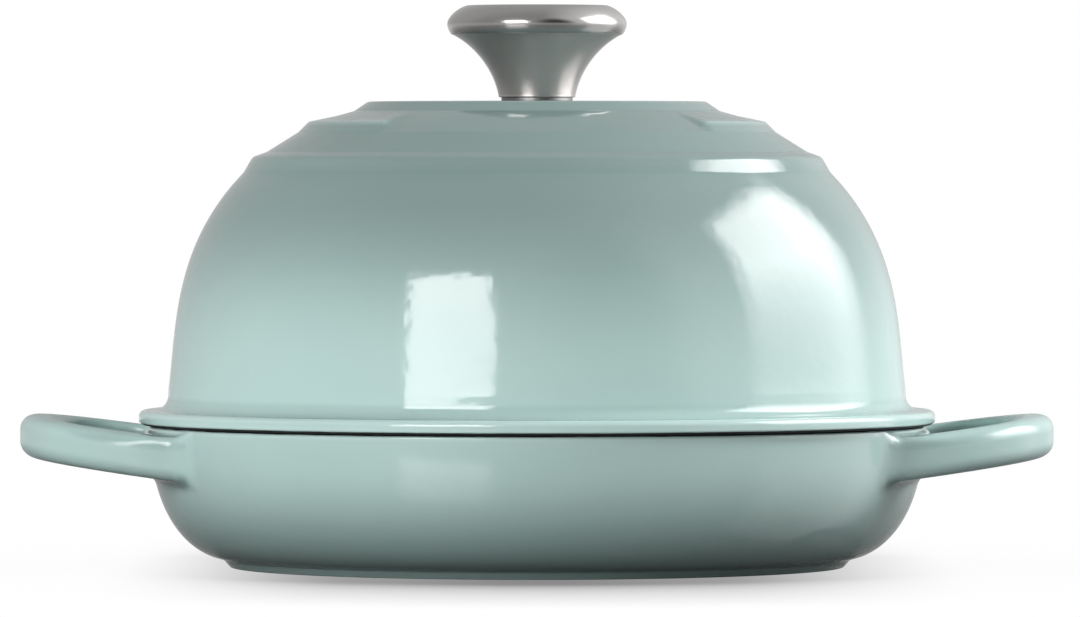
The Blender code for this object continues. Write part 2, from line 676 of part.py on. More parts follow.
def make_fastener(carrier):
    """Flat washer, spring washer and screw, stacked down from the ceiling inside the lid."""
    flat_seat = CEILING_HEIGHT - GAP - FLAT_WASHER_THICKNESS
    flat = turned(
        "flat_washer",
        washer_outline(BORE_RADIUS, BORE_RADIUS + FLAT_WASHER_WIDTH, FLAT_WASHER_THICKNESS),
        SMALL_STEPS, flat_seat, carrier,
    )
    flat.data.materials.append(material("flat_washer_zinc", ZINC, 0.35, 1.0))
    spring_seat = flat_seat - GAP - SPRING_WASHER_THICKNESS
    spring = turned(
        "spring_washer",
        washer_outline(BORE_RADIUS, BORE_RADIUS + SPRING_WASHER_WIDTH, SPRING_WASHER_THICKNESS),
        SMALL_STEPS, spring_seat, carrier,
    )
    reach = BORE_RADIUS + 2 * SPRING_WASHER_WIDTH
    split = make_guide(place(
        "washer_split", bar("washer_split", reach, SPRING_WASHER_SPLIT, 4 * SPRING_WASHER_THICKNESS),
        spring_seat + SPRING_WASHER_THICKNESS / 2, carrier,
    ))
    split.location.x = reach / 2
    split.rotation_euler.x = SPLIT_LEAN
    boolean(spring, split, "DIFFERENCE")
    spring.data.materials.append(material("spring_washer_zinc", ZINC, 0.35, 1.0))
    head_seat = spring_seat - GAP - HEAD_HEIGHT
    shank = STEM_SEAT + SCREW_REACH - head_seat - HEAD_HEIGHT
    screw = turned("knob_screw", screw_outline(shank), SMALL_STEPS, head_seat, carrier, closed=False)
    for name, turn in (("drive_slot_long", 0.0), ("drive_slot_cross", math.pi / 2)):
        slot = make_guide(place(
            name, bar(name, DRIVE_LENGTH, DRIVE_WIDTH, 2 * DRIVE_DEPTH), head_seat, carrier,
        ))
        slot.rotation_euler.z = turn
        boolean(screw, slot, "DIFFERENCE")
    screw.data.materials.append(material("screw_zinc", ZINC, 0.3, 1.0))


def main():
    """Empty the scene and build the oven in it."""
    for old in list(bpy.data.objects):
        bpy.data.objects.remove(old, do_unlink=True)
    carrier = bpy.data.objects.new("lid_axis", None)
    bpy.context.collection.objects.link(carrier)
    carrier.location.z = SEAT_HEIGHT
    carrier.rotation_euler.z = LID_TURN
    make_dish()
    make_lid(carrier)
    make_knob(carrier)
    make_fastener(carrier)


main()
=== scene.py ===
# %% [markdown]
# # A cast iron bread oven
#
# This notebook dresses a bread oven: a shallow dish with two loop handles, and a tall stepped
# dome lid with a steel knob. Both castings are coated in glass enamel, glossy and grey-green
# outside and satin black inside, so the whole look hangs on smooth shapes and soft reflections.
#
# The construction comes packed as a frame: solids at their real size, which also move. We could
# paint those solids as they are, but they have flat facets that gloss would show. So the frame
# gives the sizes and the places, and each visible piece is made again as a fine surface.

# %% The frame
import math

import bpy
import numpy as np
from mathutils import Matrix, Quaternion, Vector


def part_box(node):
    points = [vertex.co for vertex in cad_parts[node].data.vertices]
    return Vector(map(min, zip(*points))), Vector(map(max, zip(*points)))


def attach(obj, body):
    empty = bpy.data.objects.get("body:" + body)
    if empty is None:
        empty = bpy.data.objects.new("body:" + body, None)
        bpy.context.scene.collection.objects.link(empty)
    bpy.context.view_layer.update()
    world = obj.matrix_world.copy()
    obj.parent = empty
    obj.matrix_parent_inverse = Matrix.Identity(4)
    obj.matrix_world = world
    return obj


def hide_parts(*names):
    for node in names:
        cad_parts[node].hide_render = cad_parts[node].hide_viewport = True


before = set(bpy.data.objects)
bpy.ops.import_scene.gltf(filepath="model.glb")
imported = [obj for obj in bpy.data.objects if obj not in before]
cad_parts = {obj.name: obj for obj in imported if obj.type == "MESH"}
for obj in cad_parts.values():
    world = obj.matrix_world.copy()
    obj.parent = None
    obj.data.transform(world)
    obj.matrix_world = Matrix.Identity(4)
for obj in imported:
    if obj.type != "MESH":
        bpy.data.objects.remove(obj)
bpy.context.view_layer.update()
MM = 0.001

# %% [markdown]
# ## Sizes
#
# The frame's boxes say how wide and how high each piece is, so those numbers are read from it and
# not typed again. What a box can't say, such as how round an edge is or how deep the locating rib
# under the lid reaches, is a named value here, in millimetres.

# %% Sizes read from the frame
base_low, base_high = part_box("base")
lid_low, lid_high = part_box("lid")
stem_low, stem_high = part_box("knob_stem")
cap_low, cap_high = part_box("knob_cap")
ring_low, ring_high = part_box("knob_seat_ring")

GAP = 0.3 * MM
RIB_DEPTH = 4.2 * MM
RIM_RADIUS = base_high.y
HANDLE_TIP = base_high.x
SEAT_HEIGHT = lid_low.z + RIB_DEPTH
RIM_HEIGHT = SEAT_HEIGHT - GAP
CROWN_HEIGHT = lid_high.z
print("rim", round(RIM_RADIUS / MM, 1), "mm in radius and", round(RIM_HEIGHT / MM, 1), "mm high")

# %% [markdown]
# ## The camera
#
# The real vessel was seen from about three metres away through a long lens, a hand's width above
# the table. A long lens keeps the rings of the lid nearly flat, as on a drawing. We could guess a
# lens and nudge it, but three facts fix it: how many pixels the flange spans, where its middle
# lies, and where the foot's edge lies.

# %% Camera
PICTURE_WIDTH = 1080
PICTURE_HEIGHT = 617
PIXELS_PER_METRE = 3184.0          # at the depth of the vessel's axis
AXIS_PIXEL = 537.0
LEVEL_PIXEL = 152.5                # row of a point as high as the camera
CAMERA_DISTANCE = 3.0
CAMERA_HEIGHT = 0.130
SENSOR_WIDTH = 36.0

focal_pixels = PIXELS_PER_METRE * CAMERA_DISTANCE
tilt = math.atan((PICTURE_HEIGHT / 2 - LEVEL_PIXEL) / focal_pixels)
swing = math.atan((PICTURE_WIDTH / 2 - AXIS_PIXEL) / focal_pixels)
camera_data = bpy.data.cameras.new("camera")
camera_data.sensor_width = SENSOR_WIDTH
camera_data.lens = focal_pixels * SENSOR_WIDTH / PICTURE_WIDTH
camera_data.clip_end = 50
camera = bpy.data.objects.new("camera", camera_data)
bpy.context.collection.objects.link(camera)
camera.location = (0, -CAMERA_DISTANCE, CAMERA_HEIGHT)
camera.rotation_euler = (math.pi / 2 - tilt, 0, -swing)
bpy.context.scene.camera = camera
bpy.context.scene.view_settings.view_transform = "Standard"
print("lens", round(camera_data.lens), "mm, tilted down", round(math.degrees(tilt), 2), "degrees")

# %% [markdown]
# ## Outlines
#
# Nearly everything here is round, so its shape is an outline: a line of points, each a radius and
# a height, that is carried round the vertical axis. Two helpers draw outlines. One blends four
# points into a smooth curve, for the dome and the belly. The other walks through corners and turns
# each with an arc, for steps, flanges and rims. Castings have no sharp corner, because glass
# enamel pulls back from one and chips there. A third helper eases a change from one shape to another.

# %% Outline helpers
def cubic(first, pull_first, pull_last, last, count):
    """Points of a curve from first to last. At share t each point is the four corners weighed by
    (1-t)^3, 3t(1-t)^2, 3t^2(1-t) and t^3."""
    t = np.linspace(0, 1, count)[:, None]
    corners = [np.array(corner, float) for corner in (first, pull_first, pull_last, last)]
    return ((1 - t) ** 3 * corners[0] + 3 * t * (1 - t) ** 2 * corners[1]
            + 3 * t ** 2 * (1 - t) * corners[2] + t ** 3 * corners[3])


def arc_at(before, corner, after, radius, count):
    """Points of the arc of that radius that touches both sides of a corner. The arc's centre lies
    on the line that halves the corner, at radius / sin(half the angle) from it."""
    before, corner, after = (np.array(point, float) for point in (before, corner, after))
    back = (before - corner) / np.linalg.norm(before - corner)
    on = (after - corner) / np.linalg.norm(after - corner)
    half = math.acos(np.clip(back @ on, -1, 1)) / 2
    centre = corner + (back + on) / np.linalg.norm(back + on) * radius / math.sin(half)
    reach = radius / math.tan(half)
    start, end = corner + back * reach - centre, corner + on * reach - centre
    turn = np.linspace(0, 1, count)[:, None] * (math.pi - 2 * half)
    side = end - start * (start @ end) / radius ** 2
    side *= radius / np.linalg.norm(side)
    return centre + start * np.cos(turn) + side * np.sin(turn)


def outline(*corners, count=7):
    """Outline through corners (radius, height, rounding), each rounding an arc."""
    points = [np.array([corners[0][:2]], float)]
    for before, corner, after in zip(corners, corners[1:], corners[2:]):
        if corner[2]:
            points.append(arc_at(before[:2], corner[:2], after[:2], corner[2], count))
        else:
            points.append(np.array([corner[:2]], float))
    points.append(np.array([corners[-1][:2]], float))
    return np.concatenate(points)


def smooth(share):
    """Eases a share between 0 and 1: s^2 (3 - 2s)."""
    share = np.clip(share, 0, 1)
    return share * share * (3 - 2 * share)


print("a quarter turn of 2 mm:", len(outline((0, 0, 0), (5, 0, 2), (5, 5, 0))), "points")

# %% [markdown]
# ## From a grid of points to a mesh
#
# A surface here is a grid: one direction goes round, the other follows the outline. Blender could
# spin the outline with its Screw modifier, but a grid of our own can let the outline change on
# its way round, as the lid's interrupted ring needs. Where a ring of the grid shrinks to the axis
# all its points are one point, so that the pole is closed with triangles.

# %% Grid helper
def store(made, name, values):
    """Keep one number per point in the mesh."""
    layer = made.data.attributes.new(name, "FLOAT", "POINT")
    layer.data.foreach_set("value", np.asarray(values, np.float32))


def skin(name, points, closed_outline=True, numbers={}):
    """A mesh over a grid of points (turn, place on the outline). Each face joins a point with the
    next on the outline, the next round, and the one beyond both. The signed volume, a sixth of
    the sum of a . (b x c) over all triangles, says if the faces point out, and turns them."""
    turns, places = points.shape[:2]
    ids = np.arange(turns * places).reshape(turns, places)
    shrunk = np.ptp(points, axis=0).max(axis=1) < 1e-9
    ids[:, shrunk] = ids[0, shrunk]
    round_ids = np.roll(ids, -1, axis=0)
    faces = np.stack([ids, np.roll(ids, -1, axis=1), np.roll(round_ids, -1, axis=1), round_ids], -1)
    faces = faces[:, :places if closed_outline else places - 1].reshape(-1, 4)
    flat = points.reshape(-1, 3)
    a, b, c, d = (flat[faces[:, k]] for k in range(4))
    volume = np.einsum("ij,ij->", a, np.cross(b, c)) + np.einsum("ij,ij->", a, np.cross(c, d))
    if volume < 0:
        faces = faces[:, ::-1]
    used, faces = np.unique(faces, return_inverse=True)
    faces = faces.reshape(-1, 4)
    repeated = faces == np.roll(faces, -1, axis=1)
    quads = faces[~repeated.any(axis=1)]
    poles = faces[repeated.any(axis=1)]
    triangles = poles[~repeated[repeated.any(axis=1)]].reshape(-1, 3)
    mesh = bpy.data.meshes.new(name)
    mesh.from_pydata(flat[used], [], quads.tolist() + triangles.tolist())
    mesh.shade_smooth()
    made = bpy.data.objects.new(name, mesh)
    bpy.context.collection.objects.link(made)
    for number, values in numbers.items():
        store(made, number, np.broadcast_to(values, (turns, places)).reshape(-1)[used])
    return made


# %% [markdown]
# A round piece is the plainest grid, with the same outline at every turn.

# %% Round pieces
def turned(name, profile, steps, closed_outline=True):
    """A round piece. Point (i, j) is at x = r cos(angle i), y = r sin(angle i), height z, where r
    and z are the outline's."""
    angle = np.linspace(0, 2 * math.pi, steps, endpoint=False)[:, None]
    radius, height = profile[:, 0], profile[:, 1]
    points = np.stack([radius * np.cos(angle), radius * np.sin(angle), height + 0 * angle], -1)
    return skin(name, points, closed_outline)


def coordinates(made):
    """The points of an object's mesh as one array, a row each."""
    values = np.empty(len(made.data.vertices) * 3, np.float32)
    made.data.vertices.foreach_get("co", values)
    return values.reshape(-1, 3).astype(float)


def count_faces(made):
    """One line on a finished mesh."""
    print(made.name, len(made.data.vertices), "points,", len(made.data.polygons), "faces")


# %% [markdown]
# ## The dish
#
# The dish is one casting: a wall that stands nearly upright, turns in to a round belly and ends in
# a narrow foot, on which the bottom is set up a little. Its rim is a flat band, ground and left
# without glossy enamel, because the lid's rim rests on it. Inside, low rings on the floor keep the
# loaf off the iron. All of it is one outline, from the middle of the floor round to the middle
# of the bottom.

# %% Dish sizes
RIM_WIDTH = 4.6 * MM
RIM_OUTER_EDGE = 0.9 * MM
RIM_INNER_EDGE = 1.2 * MM
DISH_WALL = 4.3 * MM
UNDERSIDE_RADIUS = RIM_RADIUS - 22.1 * MM
UNDERSIDE_HEIGHT = 2.8 * MM
FOOT_RADIUS = UNDERSIDE_RADIUS - 3.1 * MM
FOOT_WIDTH = 8.0 * MM
BOTTOM_HEIGHT = 1.2 * MM
FLOOR_HEIGHT = 6.5 * MM
FLOOR_CORNER = 16.0 * MM
RIDGE_PITCH = 18.0 * MM
RIDGE_COUNT = 4
RIDGE_HEIGHT = 0.9 * MM
RIDGE_WIDTH = 4.2 * MM
print("the foot is", round(2 * FOOT_RADIUS / MM, 1), "mm across")

# %% [markdown]
# The belly is one smooth curve, and the inside is the same curve moved in by the wall's thickness.
# The floor with its rings, the turn up into the wall, the rim and the foot are added end to end.

# %% Dish outline
wall_top = RIM_HEIGHT - RIM_OUTER_EDGE
belly = cubic((RIM_RADIUS, wall_top), (RIM_RADIUS - 0.03 * MM, wall_top - 26.6 * MM),
              (UNDERSIDE_RADIUS + 10.3 * MM, UNDERSIDE_HEIGHT + 1.8 * MM),
              (UNDERSIDE_RADIUS, UNDERSIDE_HEIGHT), 56)


def inside_of(line, wall):
    """The line moved square to itself by the wall's thickness, to its right-hand side."""
    along = np.gradient(line, axis=0)
    along /= np.linalg.norm(along, axis=1)[:, None]
    return line + np.stack([along[:, 1], -along[:, 0]], -1) * wall


ridge_radius = RIDGE_PITCH * RIDGE_COUNT + RIDGE_PITCH / 2
floor_radius = np.linspace(0, ridge_radius, 14 * RIDGE_COUNT + 8)
nearest_ridge = np.clip(np.round(floor_radius / RIDGE_PITCH), 1, RIDGE_COUNT)
from_ridge = np.abs(floor_radius - RIDGE_PITCH * nearest_ridge)
swell = RIDGE_HEIGHT * smooth(1 - from_ridge / RIDGE_WIDTH)
floor = np.stack([floor_radius, FLOOR_HEIGHT + swell], -1)

inner_wall = inside_of(belly, DISH_WALL)[::-3]
inner_wall = inner_wall[inner_wall[:, 1] > FLOOR_HEIGHT + FLOOR_CORNER / 2]
inner_rim = RIM_RADIUS - RIM_WIDTH
inner_wall = inner_wall[(inner_wall[:, 0] < inner_rim) & (inner_wall[:, 1] < RIM_HEIGHT - 9 * MM)]
turn_up = cubic(floor[-1], (floor[-1][0] + 9 * MM, FLOOR_HEIGHT),
                inner_wall[0] - (inner_wall[2] - inner_wall[0]) * 0.8, inner_wall[0], 12)
rim = outline((inner_rim, RIM_HEIGHT - 8 * MM, 0), (inner_rim, RIM_HEIGHT, RIM_INNER_EDGE),
              (RIM_RADIUS, RIM_HEIGHT, RIM_OUTER_EDGE), (RIM_RADIUS, wall_top - 2 * MM, 0))[:-1]
foot = outline((UNDERSIDE_RADIUS, UNDERSIDE_HEIGHT, 0), (FOOT_RADIUS + 1.9 * MM, 2.2 * MM, 1.5 * MM),
               (FOOT_RADIUS, 0, 0.8 * MM), (FOOT_RADIUS - FOOT_WIDTH, 0, 0.8 * MM),
               (FOOT_RADIUS - FOOT_WIDTH - 1.2 * MM, BOTTOM_HEIGHT, 0.5 * MM),
               (0, BOTTOM_HEIGHT, 0), count=5)
dish_profile = np.concatenate([floor, turn_up[1:], inner_wall[1:], rim[:-1], belly, foot[1:]])
print("dish outline:", len(dish_profile), "points")

# %% [markdown]
# ## The loop handles, as a formula
#
# Each handle is a flat bar bent round a finger hole and cast in one with the dish. In the picture
# no line shows where they meet: the bar's side flows into the wall. Modelling that by hand takes
# many patches. Instead we write the handle as a distance function: a formula that says, for any
# point, how far outside (positive) or inside (negative) the bar it lies. Such functions join
# softly with simple arithmetic, which gives the cast fillets exactly.

# %% Handle sizes
HANDLE_HALF_WIDTH = 54.0 * MM
BAR_SIDE = 12.5 * MM
BAR_TIP = 10.7 * MM
HOLE_LEDGE = 1.9 * MM
HOLE_CORNER = 12.0 * MM
ROOT_RADIUS = 117.3 * MM           # of the dish's wall under the handle
OUTER_CENTRE = 108.9 * MM          # where the sides stop being straight, and the round tip starts
HOLE_CENTRE = 129.7 * MM
OUTER_SQUARENESS = 2.3
HOLE_SQUARENESS = 2.3
TOP_AT_ROOT = RIM_HEIGHT - 2.2 * MM
TOP_RISE = 0.140
UNDERSIDE_AT_ROOT = TOP_AT_ROOT - 13.2 * MM
UNDERSIDE_RISE = 0.137
HANDLE_LENGTH = HANDLE_TIP - ROOT_RADIUS
print("a handle stands out", round(HANDLE_LENGTH / MM, 1), "mm from the wall")

# %% [markdown]
# To join two shapes, take the smaller of their two distances. To keep only what lies in both, take
# the larger. Where the two are nearly equal, an arc between them makes the edge or the hollow round.

# %% Arithmetic of distances
def round_both(a, b, radius):
    """Distance to what lies inside both a and b, with an arc of that radius along the edge: the
    larger of the two, but near the edge the distance from the arc's centre, less the radius."""
    corner = np.hypot(np.maximum(a + radius, 0), np.maximum(b + radius, 0))
    return np.minimum(np.maximum(a, b), -radius) + corner


def round_either(a, b, radius):
    """Distance to what lies inside a or b, with a hollow fillet of that radius where they meet."""
    return -round_both(-a, -b, radius)


print("two faces' corner, rounded by 2 mm, lies", round(float(round_both(0, 0, 2)), 2), "mm outside")

# %% [markdown]
# The bar's outer edge and its finger hole are squared ovals, fuller in the corners than an ellipse.
# Its top and its underside are planes that rise a little towards the tip.

# %% The bar
def squared_oval(x, y, centre, reach, half_width, power):
    """Distance, near its edge, to an oval that runs on as a straight strip towards the dish. The
    edge is where q = 1, with q^p = (x' / reach)^p + (|y| / half_width)^p, and dividing q - 1 by
    its slope makes a distance of it."""
    u = np.maximum(x - centre, 0) / reach
    v = np.abs(y) / half_width
    q = np.maximum((u ** power + v ** power) ** (1 / power), 1e-6)
    slope = np.hypot((u / q) ** (power - 1) / reach, (v / q) ** (power - 1) / half_width)
    return (q - 1) / np.maximum(slope, 1e-6)


def handle_parts(p):
    """Distances to the bar's four sides (outer, hole, top, underside), and how far out it is."""
    x, y, z = np.abs(p[..., 0]), p[..., 1], p[..., 2]
    out = np.clip((x - ROOT_RADIUS) / HANDLE_LENGTH, 0, 1)
    outer = squared_oval(x, y, OUTER_CENTRE, HANDLE_TIP - OUTER_CENTRE,
                         HANDLE_HALF_WIDTH, OUTER_SQUARENESS)
    hole = squared_oval(x, y, HOLE_CENTRE, HANDLE_TIP - BAR_TIP - HOLE_CENTRE,
                        HANDLE_HALF_WIDTH - BAR_SIDE, HOLE_SQUARENESS)
    hole = round_both(hole, RIM_RADIUS + HOLE_LEDGE - np.hypot(x, y), HOLE_CORNER)
    top = z - TOP_AT_ROOT - TOP_RISE * np.maximum(x - ROOT_RADIUS, 0)
    underside = UNDERSIDE_AT_ROOT + UNDERSIDE_RISE * (x - ROOT_RADIUS) - z
    return outer, hole, top, underside, out


def edge_radii(out):
    """Radii of the bar's edges (outer top, outer underside, hole's top, hole's underside): what they
    are at the root, and what they gain on the way out. The outer ones are rounder, for the hand."""
    outer_top = 1.6 + 3.0 * smooth(out / 0.3) + 0.6 * out
    outer_under = 4.2 + 0.3 * out
    hole_top = 1.4 + 0.8 * out
    return outer_top * MM, outer_under * MM, hole_top * MM, 2.0 * MM


def handle_distance(p):
    """Distance to the handle's bar: inside both faces and both sides, with its edges rounded."""
    outer, hole, top, underside, out = handle_parts(p)
    outer_top, outer_under, hole_top, hole_under = edge_radii(out)
    return np.maximum(
        np.maximum(round_both(outer, top, outer_top), round_both(outer, underside, outer_under)),
        np.maximum(round_both(-hole, top, hole_top), round_both(-hole, underside, hole_under)))


probe = np.array([[HANDLE_TIP, 0, TOP_AT_ROOT + 1 * MM], [HANDLE_TIP + 5 * MM, 0, TOP_AT_ROOT]])
print("distances at the tip and 5 mm beyond:", (handle_distance(probe) / MM).round(2), "mm")

# %% [markdown]
# ## The handles, as a mesh
#
# A formula can't be drawn, so its surface is found by looking outwards from inside the bar: from
# the middle of each section, rays go out all round, and on each ray we halve the distance again
# and again to where the formula crosses zero. Thirty halvings of a few centimetres are far finer
# than a hair. The part of the ring that will lie in the dish's wall is closed by a round cut.

# %% Handle mesh
HANDLE_STATIONS = 210
SECTION_POINTS = 54
RING_MIDDLE = 137.0 * MM
HIDDEN_RADIUS = 117.9 * MM         # the ring's hidden side, inside the dish's wall


def halving(distance, origin, direction, reach):
    """Where each ray leaves the shape: halves the span between inside and outside thirty times."""
    low = np.zeros(origin.shape[:-1])
    high = np.full(origin.shape[:-1], reach)
    for _ in range(30):
        middle = (low + high) / 2
        inside = distance(origin + direction * middle[..., None]) < 0
        low = np.where(inside, middle, low)
        high = np.where(inside, high, middle)
    return origin + direction * low[..., None]


def closed_handle(p):
    """The bar with its hidden side cut off round, so that the whole ring is one closed tube."""
    return round_both(handle_distance(p), HIDDEN_RADIUS - np.hypot(p[..., 0], p[..., 1]), 1.0 * MM)


def handle_ring(name, side):
    """A handle as a tube round its finger hole. Station i looks out from the hole's middle at
    angle i; the section's middle lies half way between the hole's edge and the outer edge."""
    share = np.linspace(0, 1, HANDLE_STATIONS, endpoint=False)
    angle = 2 * math.pi * share
    level = (TOP_AT_ROOT + UNDERSIDE_AT_ROOT) / 2
    ray = np.stack([np.cos(angle), np.sin(angle), 0 * angle], -1)
    start = np.broadcast_to([RING_MIDDLE, 0, level], ray.shape)
    near = halving(lambda p: handle_parts(p)[1], start, ray, 80 * MM)
    far = halving(lambda p: np.maximum(handle_parts(p)[0],
                                       HIDDEN_RADIUS - np.hypot(p[..., 0], p[..., 1])),
                  start, ray, 80 * MM)
    middle = (near + far) / 2
    rise = (middle[:, 0] - ROOT_RADIUS) * (TOP_RISE + UNDERSIDE_RISE) / 2
    middle[:, 2] = level + np.maximum(rise, 0)
    round_section = np.linspace(0, 2 * math.pi, SECTION_POINTS, endpoint=False)
    direction = (ray[:, None] * np.cos(round_section)[None, :, None]
                 + np.array([0, 0, 1]) * np.sin(round_section)[None, :, None])
    origin = np.broadcast_to(middle[:, None], direction.shape)
    points = halving(closed_handle, origin, direction, 60 * MM)
    if side < 0:
        points = points * [-1, 1, 1]
    return skin(name, points)


handles = [handle_ring("handle_right", 1), handle_ring("handle_left", -1)]
count_faces(handles[0])

# %% [markdown]
# ## Joining dish and handles
#
# A Boolean union makes one skin of the three shapes, with a sharp line where they meet. The grid
# round the dish is drawn finer near the handles, so that the fillets have enough points. The
# spacing grows little by little, because a sudden change tilts the smoothed normals there and
# shows as a line in the gloss.

# %% Dish mesh and union
FINE_SPACING = 0.45                # degrees
COARSE_SPACING = 2.0
FINE_UNTIL = 30.0                  # degrees from a handle's middle
COARSE_FROM = 60.0


def uneven_turns():
    """Angles round the dish. Points per degree are 1 / spacing, so their running total says how
    many points come before an angle; whole numbers of it, read backwards, are the angles."""
    fine_angle = np.linspace(0, 360, 7201)
    away = np.abs((fine_angle + 90) % 180 - 90)
    grown = smooth((away - FINE_UNTIL) / (COARSE_FROM - FINE_UNTIL))
    spacing = FINE_SPACING * (COARSE_SPACING / FINE_SPACING) ** grown
    total = np.concatenate([[0], np.cumsum((1 / spacing[1:] + 1 / spacing[:-1]) / 2 * 0.05)])
    count = 4 * round(total[-1] / 4)
    return np.radians(np.interp(np.arange(count) * total[-1] / count, total, fine_angle))


turn = uneven_turns()[:, None]
print(len(turn), "turns round the dish")
dish_points = np.stack([dish_profile[:, 0] * np.cos(turn), dish_profile[:, 0] * np.sin(turn),
                        dish_profile[:, 1] + 0 * turn], -1)
dish = skin("bread_oven_dish", dish_points, closed_outline=False)
count_faces(dish)


def apply_modifiers(made):
    """Turn what the modifiers show into the object's own mesh."""
    graph = bpy.context.evaluated_depsgraph_get()
    mesh = bpy.data.meshes.new_from_object(made.evaluated_get(graph))
    made.modifiers.clear()
    made.data = mesh


def boolean(made, tools, operation):
    """Join the tools to a piece (UNION) or cut them from it (DIFFERENCE), and remove them."""
    for tool in tools:
        modifier = made.modifiers.new(tool.name, "BOOLEAN")
        modifier.operation = operation
        modifier.object = tool
        modifier.solver = "EXACT"
    apply_modifiers(made)
    for tool in tools:
        bpy.data.objects.remove(tool)


boolean(dish, handles, "UNION")
count_faces(dish)

# %% [markdown]
# ## Cast fillets
#
# Now the sharp line where handle and wall meet has to become a soft hollow. The distance functions
# say how: wherever the wall and the handle are both nearer than the fillet's radius, the true
# surface is the zero of their rounded union. We slide every point there onto it along the
# function's slope, which is what a Bevel would do if it could follow such a changing radius. The
# radius is large at the handle's sides, smaller underneath, and small on top, below the rim.

# %% Fillets between wall and handle
FILLET_SIDE = 6.5 * MM
FILLET_UNDER = 3.5 * MM
FILLET_TOP = 1.3 * MM
RELAX_ROUNDS = 10

belly_up = np.concatenate([belly[::-1], [[RIM_RADIUS, wall_top + 5 * MM]]])
belly_slope = np.gradient(belly_up[:, 0], belly_up[:, 1])


def wall_distance(p):
    """Distance to the dish's outside: how far the point's radius passes the outline's at its
    height, times the cosine of the wall's lean there."""
    radius = np.interp(p[..., 2], belly_up[:, 1], belly_up[:, 0])
    slope = np.interp(p[..., 2], belly_up[:, 1], belly_slope)
    return (np.hypot(p[..., 0], p[..., 1]) - radius) / np.sqrt(1 + slope ** 2)


def fillet_radius(p):
    """Radius of the fillet near a point, blended between the handle's side, top and underside."""
    outer, hole, top, underside, out = handle_parts(p)
    side = smooth(0.5 + (outer - np.maximum(top, underside)) / (7 * MM))
    height = smooth(underside / np.minimum(underside + top, -1e-6))
    flat = FILLET_UNDER + (FILLET_TOP - FILLET_UNDER) * height
    return flat + (FILLET_SIDE - flat) * side


def cast_surface(p):
    """Distance to dish and handle together, with the fillet between them."""
    return round_either(wall_distance(p), handle_distance(p), fillet_radius(p))


def slope_of(distance, p, step=0.02 * MM):
    """Gradient of a distance function, from its change over a small step to both sides."""
    parts = []
    for axis in np.eye(3) * step:
        parts.append((distance(p + axis) - distance(p - axis)) / (2 * step))
    return np.stack(parts, -1)


def onto_surface(distance, p, rounds=3):
    """Newton steps: move each point against the gradient by distance / gradient length."""
    for _ in range(rounds):
        slope = slope_of(distance, p)
        p = p - slope * (distance(p) / np.maximum((slope ** 2).sum(-1), 0.05))[:, None]
    return p


print("fillets of", round(FILLET_TOP / MM, 1), "to", round(FILLET_SIDE / MM, 1), "mm")

# %% [markdown]
# Now the points slide. That bunches some of them, so between slides each one is drawn half way to
# the mean of its neighbours, which evens them out.

# %% Slide the points
points = coordinates(dish)
to_wall, to_handle, reach = wall_distance(points), handle_distance(points), fillet_radius(points)
zone = (to_wall > -0.4 * MM) & (to_handle > -0.4 * MM) & (to_wall < reach) & (to_handle < reach)
points[zone] = onto_surface(cast_surface, points[zone], 6)
edges = np.empty(len(dish.data.edges) * 2, np.int32)
dish.data.edges.foreach_get("vertices", edges)
edges = edges.reshape(-1, 2)
edges = edges[zone[edges].any(axis=1)]
for _ in range(RELAX_ROUNDS):
    total = np.zeros_like(points)
    count = np.zeros(len(points))
    for a, b in (edges.T, edges.T[::-1]):
        np.add.at(total, a, points[b])
        np.add.at(count, a, 1)
    points[zone] = (points[zone] + total[zone] / count[zone, None]) / 2
    points[zone] = onto_surface(cast_surface, points[zone], 2)
dish.data.vertices.foreach_set("co", points.astype(np.float32).ravel())
dish.data.update()
dish.data.shade_smooth()
print(int(zone.sum()), "points lie in the fillets")

# %% [markdown]
# ## Where the glaze ends, and where shade and light are painted
#
# The glossy coloured glaze stops at the rim: the rim's band is ground and coated thinly in matte
# black, and inside the ware is satin black. The paint line isn't a seam in the shape, so it is not
# worth splitting the mesh for. Each point instead carries two numbers, in millimetres: how far it
# lies inside the coloured glaze, and how far inside the ground band. A material can draw a clean or
# a slightly wavy edge wherever such a number crosses zero. A third number paints shade and light:
# above zero the colour is darker, as painted shade in hollows, creases and under the handles, and
# below zero it is paler, as a painted highlight on edges. A fourth tells the handles from the dish,
# because hands and oven gloves dull them a little.

# %% Glaze numbers
GLAZE_EDGE_RADIUS = RIM_RADIUS - 0.35 * MM

radius, height = np.hypot(points[:, 0], points[:, 1]), points[:, 2]
outside = (wall_distance(points) > -2.2 * MM) | (height < FLOOR_HEIGHT - 2 * MM)
on_rim = height > wall_top
glaze = np.where(outside, 2.0, -2.0)
glaze[on_rim & outside] = np.clip((radius - GLAZE_EDGE_RADIUS)[on_rim & outside] / MM, -2, 2)
ground = np.clip((height - RIM_HEIGHT) / MM + 0.3, -2, 2)
store(dish, "glaze", glaze)
store(dish, "ground", ground)
print("glazed outside:", int((glaze > 0).sum()), "points, ground:", int((ground > 0).sum()))
